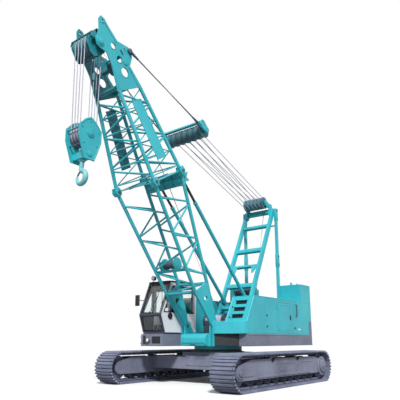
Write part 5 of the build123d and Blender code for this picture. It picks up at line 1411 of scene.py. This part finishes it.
def head_fittings():
    """Shaft bosses, hole lips, rope guards, the front lugs and the cover over the head sheaves."""
    teal, dark = Shape(), Shape()
    # Holes in the head's plates by place and radius, and the lips round them
    holes = ((7.70, 0.04, 0.13), (8.06, 0.0, 0.095), (8.42, -0.06, 0.085), (8.30, 0.33, 0.03))
    # Ribs by start, end and width
    ribs = (
        (7.30, 0.40, 7.84, 0.28, 0.05),
        (7.30, -0.38, 7.94, -0.32, 0.05),
        (8.50, 0.10, 9.05, -0.08, 0.035),
    )
    guard = [
        (8.30, -0.30), (8.62, -0.14), (8.86, -0.36), (8.86, -0.56),
        (8.66, -0.80), (8.36, -0.80), (8.24, -0.72), (8.25, -0.52),
    ]
    boss, guide_boss = 0.02, 0.014
    for side in SIDES:
        for face in SIDES:
            y = side * HEAD_PLATE_Y + face * HEAD_PLATE_HALF
            for s, n, radius in holes:
                teal.ring((s, y, n), ACROSS, radius + 0.008, 0.008, 32, 6, BOOM)
            teal.ring((9.08, y, -0.15), ACROSS, 0.052, 0.014, 24, 8, BOOM)
        way, y = ACROSS * side, side * (HEAD_PLATE_Y + HEAD_PLATE_HALF)
        shaft = HEAD_SHEAVES + ACROSS * y
        teal.hub(shaft, way, [(0.12, boss, 0.005, 32), (0.07, 0.02, 0.005, 24)], BOOM)
        teal.bolt_circle(shaft + way * boss, way, 0.095, 8, 0.011, BOOM)
        guide = GUIDE_SHEAVE + ACROSS * y
        teal.disc(guide, way, 0.09, guide_boss, 0.004, 28, BOOM)
        teal.bolt_circle(guide + way * guide_boss, way, 0.07, 6, 0.010, BOOM)
        for s0, n0, s1, n1, wide in ribs:
            teal.strip((s0, y, n0), (s1, y, n1), wide, 0.012, way, 0.004, BOOM)
        lug = [(8.66, -0.52), (8.86, -0.47), (8.84, -0.62), (8.74, -0.70)]
        teal.plate(lug, side * 0.40, side * 0.42, place=BOOM)
        teal.plate(guard, side * 0.302, side * 0.314, 0.003, BOOM)
        dark.strip((8.17, y, 0.20), (8.30, y, 0.16), 0.024, 0.02, way, 0.004, BOOM)
    teal.shaft(8.84, -0.60, 0.42, 0.020, 14, place=BOOM)
    for cover in (
        [(8.92, -0.10), (8.90, -0.34), (8.885, -0.34), (8.905, -0.10)],
        [(8.62, -0.02), (8.92, -0.10), (8.92, -0.115), (8.62, -0.035)],
    ):
        teal.plate(cover, -0.434, 0.434, place=BOOM)
    dark.shaft(8.88, -0.40, 0.42, 0.024, 14, place=BOOM)
    dark.shaft(8.29, -0.70, 0.31, 0.016, 14, place=BOOM)
    teal.finish("boom_head_fittings", "boom", "head_enamel")
    dark.finish("head_rope_guards", "boom", "primer_and_shade_black")


def backstop_fittings():
    """Collars and end caps of the backstop tubes."""
    top = BOOM @ STOP_EYE
    stops = frame_at(STOP_FOOT, top - STOP_FOOT)
    length = (top - STOP_FOOT).length
    tube = Shape()
    for side in SIDES:
        y = side * STOP_Y
        for s in (0.12, 1.30, length - 0.94):
            tube.bar((s, y, 0), (s + 0.07, y, 0), 0.066, 24, bevel=0.006, place=stops)
        tube.bar((length - 0.885, y, 0), (length - 0.862, y, 0), 0.060, 24, 0.046, place=stops)
    tube.finish("backstop_collars", "backstop_tubes", "teal_enamel")


def ladder_fittings(teal):
    """Gussets, rung plates, leg strips and hangers of the gantry's front frame."""
    way = (GANTRY_TOP - GANTRY_FOOT).normalized()
    ladder = Matrix.Translation(GANTRY_FOOT) @ turned_to(ACROSS.cross(way), ACROSS, way)
    across = Matrix.Rotation(math.pi / 2, 4, "Z")
    inner, gusset, half = 0.53, 0.09, 0.01
    # Rungs by height up the ladder and depth
    for z, deep in ((0.70, 0.13), (1.56, 0.15), (3.08, 0.15), (4.18, 0.11)):
        for side in SIDES:
            for end in SIDES:
                at = ladder @ Matrix.Translation((0, side * inner, z + end * deep / 2)) @ across
                teal.plate([(0, 0), (-side * gusset, 0), (0, end * gusset)], -half, half, place=at)
        teal.strip((0.06, -0.50, z), (0.06, 0.50, z), deep * 0.5, 0.008, FRONT, 0.002, ladder)
    hanger = [(0, 0), (0.21, 0), (0.21, -0.05), (0.12, -0.26), (0.05, -0.26)]
    for side in SIDES:
        for x in (-0.075, 0.075):
            teal.strip((x, side * 0.58, 0.30), (x, side * 0.58, 4.60), 0.05, 0.006, (x, 0, 0), 0.002, ladder)
        at = ladder @ Matrix.Translation((0.055, side * 0.30, 2.34)) @ across
        teal.plate([(side * u, w) for u, w in hanger], 0, 0.02, place=at)


def gantry_fittings():
    """Gussets on the ladder, sleeves and pin caps on the rear legs, and pin caps at the top."""
    teal, steel = Shape(), Shape()
    ladder_fittings(teal)
    for side in SIDES:
        way = ACROSS * side
        for pivot, radius in ((STOP_FOOT, 0.065), (GANTRY_FOOT, 0.07)):
            steel.disc(pivot + way * 0.63, way, radius, 0.02)
        for z0, z1 in ((1.50, 1.72), (3.95, 4.45), (5.75, 6.21)):
            low, high = (LEG_X - 0.072, side * LEG_Y - 0.052, z0), (LEG_X + 0.072, side * LEG_Y + 0.052, z1)
            teal.block(low, high, 0.008)
        for z in (1.62, 4.05, 4.35, 6.14):
            pin = Vector((LEG_X, side * 0.742, z))
            steel.disc(pin, way, 0.042, 0.016)
            cotter = pin + way * 0.010
            steel.bar(cotter - UP * 0.06, cotter + UP * 0.06, 0.006, 6)
    teal.shaft(LEG_X, 5.55, LEG_Y, 0.03, 10)
    teal.finish("gantry_gussets", "upper", "teal_enamel")
    steel.finish("gantry_pins", "upper", "turned_steel")


def tackle_fittings():
    """Tie beams, end caps and keeper bolts of the gantry block and the bridle."""
    near, far = Shape(), Shape()
    near_cap, far_cap, beam = 0.016, 0.018, ROPE_LENGTH + 0.215
    cheek = [(-0.10, 0.06), (0.20, 0.19), (0.31, 0.19), (0.37, 0.03), (0.30, -0.06), (0.02, -0.10)]
    outline = [(ROPE_LENGTH + s, n) for s, n in cheek]
    far.block((beam, -0.812, 0.11), (beam + 0.085, 0.812, 0.18), 0.010, LUFFING)
    for side in SIDES:
        way, near_y, far_y = ACROSS * side, side * 0.47, side * 0.80
        near.disc((TACKLE_AT, near_y, 0), way, 0.085, near_cap, 0.004, 28, LUFFING)
        near.bolt_circle((TACKLE_AT, near_y + side * near_cap, 0), way, 0.062, 6, 0.010, LUFFING)
        far.disc((ROPE_LENGTH, far_y, 0), way, 0.10, far_cap, 0.005, 32, LUFFING)
        far.bolt_circle((ROPE_LENGTH, far_y + side * far_cap, 0), way, 0.075, 8, 0.010, LUFFING)
        far.disc((ROPE_LENGTH + BRIDLE_PIN, far_y, 0), way, 0.05, 0.02, 0.005, 24, LUFFING)
        far.plate(outline, far_y, far_y + side * 0.012, 0.003, LUFFING)
    near.shaft(0.10, 0, 0.43, 0.028, 16, place=LUFFING)
    near.finish("gantry_block_ties", "tackle", "teal_enamel")
    far.finish("bridle_beam", "bridle", "teal_enamel")


def hook_block_fittings():
    """Shaft caps, tie bolts, rope guards and ribs of the hook block."""
    x = HEAD_CENTRE.x
    cheek_y, cap = 0.276, 0.018
    # One half of the cheek's edge, from its top down
    edge = [(0, 6.745), (0.15, 6.66), (0.325, 6.48), (0.325, 6.19), (0.145, 5.66)]
    bolts = ((0.26, 6.44), (-0.26, 6.44), (0.20, 6.05), (-0.20, 6.05), (0, 6.66))
    block, guard = Shape(), Shape()
    for side in SIDES:
        way, y = ACROSS * side, side * cheek_y
        block.hub((x, y, BLOCK_Z), way, [(0.105, cap, 0.005, 32), (0.055, 0.014, 0.004, 28)])
        block.bolt_circle((x, y + side * cap, BLOCK_Z), way, 0.082, 6, 0.011)
        rim = [(x + u, y, z) for u, z in edge] + [(x - u, y, z) for u, z in edge[:0:-1]]
        block.surround(rim, 0.026, 0.008, way)
        block.disc((x, y, 5.80), way, 0.075, 0.016)
        block.bolts([(x + u, y, z) for u, z in bolts], way, 0.018, 0.016)
    for u, z in ((0.31, 6.42), (-0.31, 6.42), (0.22, 6.03), (-0.22, 6.03)):
        guard.shaft(x + u, z, 0.25, 0.016, 12)
    block.finish("hook_block_fittings", "hook_block", "teal_enamel")
    guard.finish("hook_block_guards", "hook_block", "turned_steel")


def forged_hook(x):
    """The hook: one drop forging, thick in the bowl and fine at the point, with its nut and latch."""
    data = bpy.data.curves.new("hook", "CURVE")
    data.dimensions = "3D"
    data.bevel_depth = 1.0
    data.bevel_resolution = 6
    data.use_fill_caps = True
    shank, steps, sweep = 0.058, 10, 285
    centre = HOOK_LOW + 0.064 + HOOK_BOWL
    # Places across and up, with the half thickness there
    route = [(0.0, 5.90, shank), (0.0, 5.60, shank)]
    for i in range(steps + 1):
        turn = math.radians(90 - sweep * i / steps)
        thick = 0.056 + 0.014 * math.sin(math.pi * min(1, i / 8)) - 0.010 * max(0, i - 7)
        route.append((HOOK_BOWL * math.cos(turn), centre + HOOK_BOWL * math.sin(turn), thick))
    spline = data.splines.new("BEZIER")
    spline.bezier_points.add(len(route) - 1)
    spline.resolution_u = 8
    for knot, (y, z, thick) in zip(spline.bezier_points, route):
        knot.co = (x, y, z)
        knot.radius = thick
        knot.handle_left_type = knot.handle_right_type = "AUTO"
    curve = linked("hook_route", data)
    mesh = evaluated(curve)
    bpy.data.objects.remove(curve)
    hook = Shape()
    hook.bm.from_mesh(mesh)
    bpy.data.meshes.remove(mesh)
    hook.bar((x, 0, 5.901), (x, 0, 5.981), 0.095, 6, bevel=0.006)
    hook.bar((x, 0, 5.655), (x, 0, 5.70), 0.085, 28, bevel=0.006)
    hook.finish("forged_hook", "hook", "hook_enamel", replaced=["hook"])
    tongue = Shape()
    tongue.strip((x, -0.030, 5.43), (x, -0.150, 5.29), 0.045, 0.008, (0, -0.76, 0.65), 0.002)
    tongue.bar((x - 0.035, -0.035, 5.425), (x + 0.035, -0.035, 5.425), 0.014, 12)
    tongue.finish("hook_latch", "hook", "turned_steel", "dark_paint")


def machinery():
    """Valve bank, swing motor and hard pipes on the revolving frame between the houses."""
    floor, case_high, motor_x, bank = 1.24, 1.72, 0.52, 1.46
    valves, pipes = 6, 4
    gear, pipe = Shape(), Shape()
    gear.block((-1.45, -0.30, floor), (-1.15, 0.30, bank), 0.015)
    for i in range(valves):
        gear.block((-1.43, -0.27 + i * 0.09, bank), (-1.17, -0.20 + i * 0.09, bank + 0.09), 0.008)
    gear.bar((motor_x, 0, floor), (motor_x, 0, case_high), 0.15, 28, bevel=0.01)
    gear.bar((motor_x, 0, case_high), (motor_x, 0, 1.90), 0.10, 24, bevel=0.01)
    gear.bolt_circle((motor_x, 0, case_high), UP, 0.128, 10, 0.012)
    gear.finish("swing_motor_and_valves", "upper", "grey_enamel")
    for i in range(pipes):
        y = -0.22 + i * 0.05
        pipe.rail([(-1.16, y, 1.30), (-0.30, y, 1.30), (-0.30, y, 1.27), (0.38, y, 1.27)], 0.012)
    pipe.finish("hard_pipes", "upper", "turned_steel")


def loop_place(share):
    """Point and outward way on the track's loop of shoe tips, at this share of its length."""
    run = 2 * WHEEL_X
    bend = math.pi * WHEEL_Z
    d = share * (2 * run + 2 * bend)
    if d < run:
        centre, a = d - WHEEL_X, math.pi / 2
    elif d < run + bend:
        centre, a = WHEEL_X, math.pi / 2 - (d - run) / WHEEL_Z
    elif d < 2 * run + bend:
        centre, a = WHEEL_X - (d - run - bend), -math.pi / 2
    else:
        centre, a = -WHEEL_X, -math.pi / 2 - (d - 2 * run - bend) / WHEEL_Z
    out = Vector((math.cos(a), 0, math.sin(a)))
    return Vector((centre, 0, WHEEL_Z)) + out * WHEEL_Z, out


def shoe():
    """One cast shoe about the middle of its tread: a plate, two lobed grousers, bolts and a pair of links."""
    half = (2 * WHEEL_X + math.pi * WHEEL_Z) / SHOE_COUNT
    plate_high, lobe, joint, inset = -0.036, 0.036, 0.005, 0.022
    made = Shape()
    low = (-half + joint, -SHOE_HALF + inset, -SHOE_DEPTH)
    made.block(low, (half - joint, SHOE_HALF - inset, plate_high), 0.005, segments=1)
    end_y = SHOE_HALF - lobe
    for u in (-half / 2, half / 2):
        made.block((u - lobe, -end_y, plate_high - 0.004), (u + lobe, end_y, 0), 0.008, segments=1)
        for y in (-end_y, end_y):
            made.bar((u, y, -SHOE_DEPTH + 0.006), (u, y, 0), lobe, 16, bevel=0.006)
    link, pin = half * 0.92, -SHOE_DEPTH - 0.04
    for side in SIDES:
        made.bolts([(0, side * y, plate_high) for y in (0.06, 0.22)], UP, 0.011, 0.016)
        inner, outer = sorted((side * 0.075, side * 0.12))
        made.block((-link, inner, -SHOE_DEPTH - LINK_DEPTH), (link, outer, -SHOE_DEPTH), 0.016, segments=1)
    made.shaft(half, pin, 0.135, 0.024, 10)
    return made


def tracks():
    """Both tracks with every shoe."""
    for name, side in (("left", 1), ("right", -1)):
        one, belt = shoe(), Shape()
        places = []
        for i in range(SHOE_COUNT):
            point, out = loop_place((i + 0.5) / SHOE_COUNT)
            point -= out * (BEND_INSET if abs(out.z) < 0.999 else 0)
            turned = turned_to(ACROSS.cross(out), ACROSS, out)
            places.append(Matrix.Translation(point + ACROSS * side * TRACK_Y) @ turned)
        belt.copies(one, places)
        one.bm.free()
        belt.finish(f"track_shoes_{name}", "undercarriage", "shoe_steel", replaced=[f"track_{name}"])


# The stage: floor, light and camera
FLOOR_HALF = 60
SHADE_NEAR = 3.5
SHADE_FAR = 8.5
FILL_STRENGTH = 0.46
KEY_STRENGTH = 3.7
KEY_WIDTH = math.radians(9)
KEY_WAY = Vector((-0.66, -0.56, -0.80))
CAMERA_PLACE = Vector((12.6785, 9.1755, 1.3099))
CAMERA_YAW = math.radians(218.02)
CAMERA_PITCH = math.radians(12.609)
CAMERA_SHIFT = 0.085
WHITE = (1, 1, 1, 1)


def pale_floor():
    """A floor that takes shadow near the crane, turns white further out and throws little light back."""
    material, tree, shader, place = blank_finish("pale_floor")
    feed(tree, shader, {"Base Color": (*linear("#FAFAFA"), 1), "Roughness": 0.9})
    reach = add(tree, "ShaderNodeVectorMath", {0: place}, operation="LENGTH").outputs["Value"]
    far = spread(tree, reach, SHADE_NEAR, SHADE_FAR, interpolation_type="SMOOTHSTEP")
    path = add(tree, "ShaderNodeLightPath").outputs
    seen = reckon(tree, "MAXIMUM", path["Is Camera Ray"], path["Is Transmission Ray"])
    white = add(tree, "ShaderNodeEmission", {"Color": WHITE, "Strength": 1.0}).outputs[0]
    mixed = mix_shaders(tree, reckon(tree, "MULTIPLY", far, seen), shader.outputs[0], white)
    ground = add(tree, "ShaderNodeBsdfDiffuse", {"Color": (*linear("#9A9A9A"), 1)}).outputs[0]
    output = next(n for n in tree.nodes if n.bl_idname == "ShaderNodeOutputMaterial")
    feed(tree, output, {"Surface": mix_shaders(tree, seen, ground, mixed)})
    return material


def studio_world():
    """White to the eye and in reflections, a soft cool fill as light."""
    world = bpy.data.worlds.new("studio")
    bpy.context.scene.world = world
    world.use_nodes = True
    tree = world.node_tree
    tree.nodes.clear()
    path = add(tree, "ShaderNodeLightPath").outputs
    seen = reckon(tree, "MAXIMUM", path["Is Camera Ray"], path["Is Glossy Ray"])
    seen = reckon(tree, "MAXIMUM", seen, path["Is Transmission Ray"])
    tint = {"Color": (*linear("#EEF2F8"), 1), "Strength": FILL_STRENGTH}
    fill = add(tree, "ShaderNodeBackground", tint).outputs[0]
    white = add(tree, "ShaderNodeBackground", {"Color": WHITE, "Strength": 1.0}).outputs[0]
    add(tree, "ShaderNodeOutputWorld", {"Surface": mix_shaders(tree, seen, fill, white)})


def stage(lens):
    """Floor, light and camera."""
    scene = bpy.context.scene
    scene.view_settings.view_transform = "Standard"
    studio_world()

    mesh = bpy.data.meshes.new("floor")
    bm = bmesh.new()
    bmesh.ops.create_grid(bm, x_segments=1, y_segments=1, size=FLOOR_HALF)
    bm.to_mesh(mesh)
    bm.free()
    floor = linked("floor", mesh)
    floor.location.z = -0.002
    mesh.materials.append(pale_floor())

    key = bpy.data.lights.new("key", "SUN")
    key.energy = KEY_STRENGTH
    key.angle = KEY_WIDTH
    linked("key", key).rotation_euler = KEY_WAY.to_track_quat("-Z", "Y").to_euler()

    data = bpy.data.cameras.new("camera")
    data.lens = lens
    data.shift_y = CAMERA_SHIFT
    data.clip_end = 500
    camera = linked("camera", data)
    camera.location = SLEW + CAMERA_PLACE
    level = math.cos(CAMERA_PITCH)
    way = Vector((math.cos(CAMERA_YAW) * level, math.sin(CAMERA_YAW) * level, math.sin(CAMERA_PITCH)))
    camera.rotation_mode = "QUATERNION"
    camera.rotation_quaternion = way.to_track_quat("-Z", "Y")
    scene.camera = camera


class CraneColours(bpy.types.PropertyGroup):
    teal: bpy.props.FloatVectorProperty(
        name="Paint", description="Enamel of boom, houses and gantry", subtype="COLOR",
        default=linear("#37BBC5"),
    )
    grey: bpy.props.FloatVectorProperty(
        name="Skirt", description="Enamel of the decks below the houses", subtype="COLOR",
        default=linear("#7A7F91"),
    )
    chassis: bpy.props.FloatVectorProperty(
        name="Chassis", description="Paint of carbody and track frames", subtype="COLOR",
        default=linear("#868BA0"),
    )
    shoes: bpy.props.FloatVectorProperty(
        name="Shoes", description="Cast steel of the track shoes", subtype="COLOR",
        default=linear("#858BA2"),
    )


class CraneSizes(bpy.types.PropertyGroup):
    hoist_rope: bpy.props.FloatProperty(
        name="Hoist rope", description="Diameter of the hoist rope", unit="LENGTH", default=0.024
    )
    luffing_rope: bpy.props.FloatProperty(
        name="Luffing rope", description="Diameter of the luffing rope", unit="LENGTH", default=0.024
    )
    pendant_rope: bpy.props.FloatProperty(
        name="Pendant rope", description="Diameter of the pendant ropes", unit="LENGTH", default=0.048
    )
    lens: bpy.props.FloatProperty(
        name="Lens", description="Focal length of the camera", subtype="DISTANCE_CAMERA", default=42.54
    )


class CRANE_OT_finishes(bpy.types.Operator):
    """Paint the solids"""
    bl_idname = "crane.finishes"
    bl_label = "Finishes"

    def execute(self, context):
        paint_nodes()
        return {"FINISHED"}


class CRANE_OT_ropes(bpy.types.Operator):
    """Draw the luffing, hoist and pendant ropes and fit the winches"""
    bl_idname = "crane.ropes"
    bl_label = "Ropes"

    def execute(self, context):
        sizes = context.scene.crane_sizes
        luffing_ropes(sizes.luffing_rope / 2)
        hoist_ropes(sizes.hoist_rope / 2)
        drum_ropes(sizes.hoist_rope / 2)
        standing_lines(sizes.hoist_rope / 2)
        pendant_ropes(sizes.pendant_rope / 2)
        return {"FINISHED"}


class CRANE_OT_tracks(bpy.types.Operator):
    """Lay the track shoes"""
    bl_idname = "crane.tracks"
    bl_label = "Tracks"

    def execute(self, context):
        tracks()
        return {"FINISHED"}


class CRANE_OT_undercarriage(bpy.types.Operator):
    """Fit the covers, hubs and bolts of track frames and carbody"""
    bl_idname = "crane.undercarriage"
    bl_label = "Undercarriage"

    def execute(self, context):
        undercarriage()
        return {"FINISHED"}


class CRANE_OT_decks(bpy.types.Operator):
    """Fit the deck seams, lamps, pin caps and the machinery between the houses"""
    bl_idname = "crane.decks"
    bl_label = "Decks"

    def execute(self, context):
        decks()
        machinery()
        return {"FINISHED"}


class CRANE_OT_houses(bpy.types.Operator):
    """Fit louvres, latches, handles and roof trim"""
    bl_idname = "crane.houses"
    bl_label = "Houses"

    def execute(self, context):
        house_left()
        house_right()
        return {"FINISHED"}


class CRANE_OT_counterweight(bpy.types.Operator):
    """Fit the edges and tie bolts of the weights"""
    bl_idname = "crane.counterweight"
    bl_label = "Counterweight"

    def execute(self, context):
        counterweight()
        return {"FINISHED"}


class CRANE_OT_cab(bpy.types.Operator):
    """Fit gaskets, wiper, mirror, rails and controls"""
    bl_idname = "crane.cab"
    bl_label = "Cab"

    def execute(self, context):
        cab_glazing()
        cab_controls()
        return {"FINISHED"}


class CRANE_OT_seat(bpy.types.Operator):
    """Sew the operator's seat"""
    bl_idname = "crane.seat"
    bl_label = "Seat"

    def execute(self, context):
        seat()
        return {"FINISHED"}


class CRANE_OT_boom(bpy.types.Operator):
    """Fit bracing, pins, collars, panel rims, head bosses and guards"""
    bl_idname = "crane.boom"
    bl_label = "Boom"

    def execute(self, context):
        boom_bracing()
        boom_fittings()
        head_fittings()
        backstop_fittings()
        return {"FINISHED"}


class CRANE_OT_gantry(bpy.types.Operator):
    """Fit gussets, sleeves, pin caps and tie beams"""
    bl_idname = "crane.gantry"
    bl_label = "Gantry"

    def execute(self, context):
        gantry_fittings()
        tackle_fittings()
        return {"FINISHED"}


class CRANE_OT_hook_block(bpy.types.Operator):
    """Fit the block's caps and bolts and forge the hook"""
    bl_idname = "crane.hook_block"
    bl_label = "Hook block"

    def execute(self, context):
        hook_block_fittings()
        forged_hook(HEAD_CENTRE.x)
        return {"FINISHED"}


class CRANE_OT_stage(bpy.types.Operator):
    """Set floor, light and camera"""
    bl_idname = "crane.stage"
    bl_label = "Stage"

    def execute(self, context):
        stage(context.scene.crane_sizes.lens)
        return {"FINISHED"}


OPERATORS = (
    CRANE_OT_stage, CRANE_OT_finishes, CRANE_OT_ropes, CRANE_OT_tracks, CRANE_OT_undercarriage,
    CRANE_OT_decks, CRANE_OT_houses, CRANE_OT_counterweight, CRANE_OT_cab, CRANE_OT_seat,
    CRANE_OT_boom, CRANE_OT_gantry, CRANE_OT_hook_block,
)


class CRANE_PT_panel(bpy.types.Panel):
    """The crane's pieces and finishes"""
    bl_idname = "CRANE_PT_panel"
    bl_label = "Crawler crane"
    bl_space_type = "VIEW_3D"
    bl_region_type = "UI"
    bl_category = "Crane"

    def draw(self, context):
        for group in (context.scene.crane_colours, context.scene.crane_sizes):
            for name in group.bl_rna.properties.keys():
                if name not in ("rna_type", "name"):
                    self.layout.prop(group, name)
        for operator in OPERATORS:
            self.layout.operator(operator.bl_idname)


CLASSES = (CraneColours, CraneSizes, *OPERATORS, CRANE_PT_panel)


def register():
    for cls in CLASSES:
        bpy.utils.register_class(cls)
    bpy.types.Scene.crane_colours = bpy.props.PointerProperty(type=CraneColours)
    bpy.types.Scene.crane_sizes = bpy.props.PointerProperty(type=CraneSizes)


def unregister():
    del bpy.types.Scene.crane_sizes
    del bpy.types.Scene.crane_colours
    for cls in reversed(CLASSES):
        bpy.utils.unregister_class(cls)


def main():
    register()
    for operator in OPERATORS:
        group, name = operator.bl_idname.split(".")
        getattr(getattr(bpy.ops, group), name)()


if __name__ == "__main__":
    main()
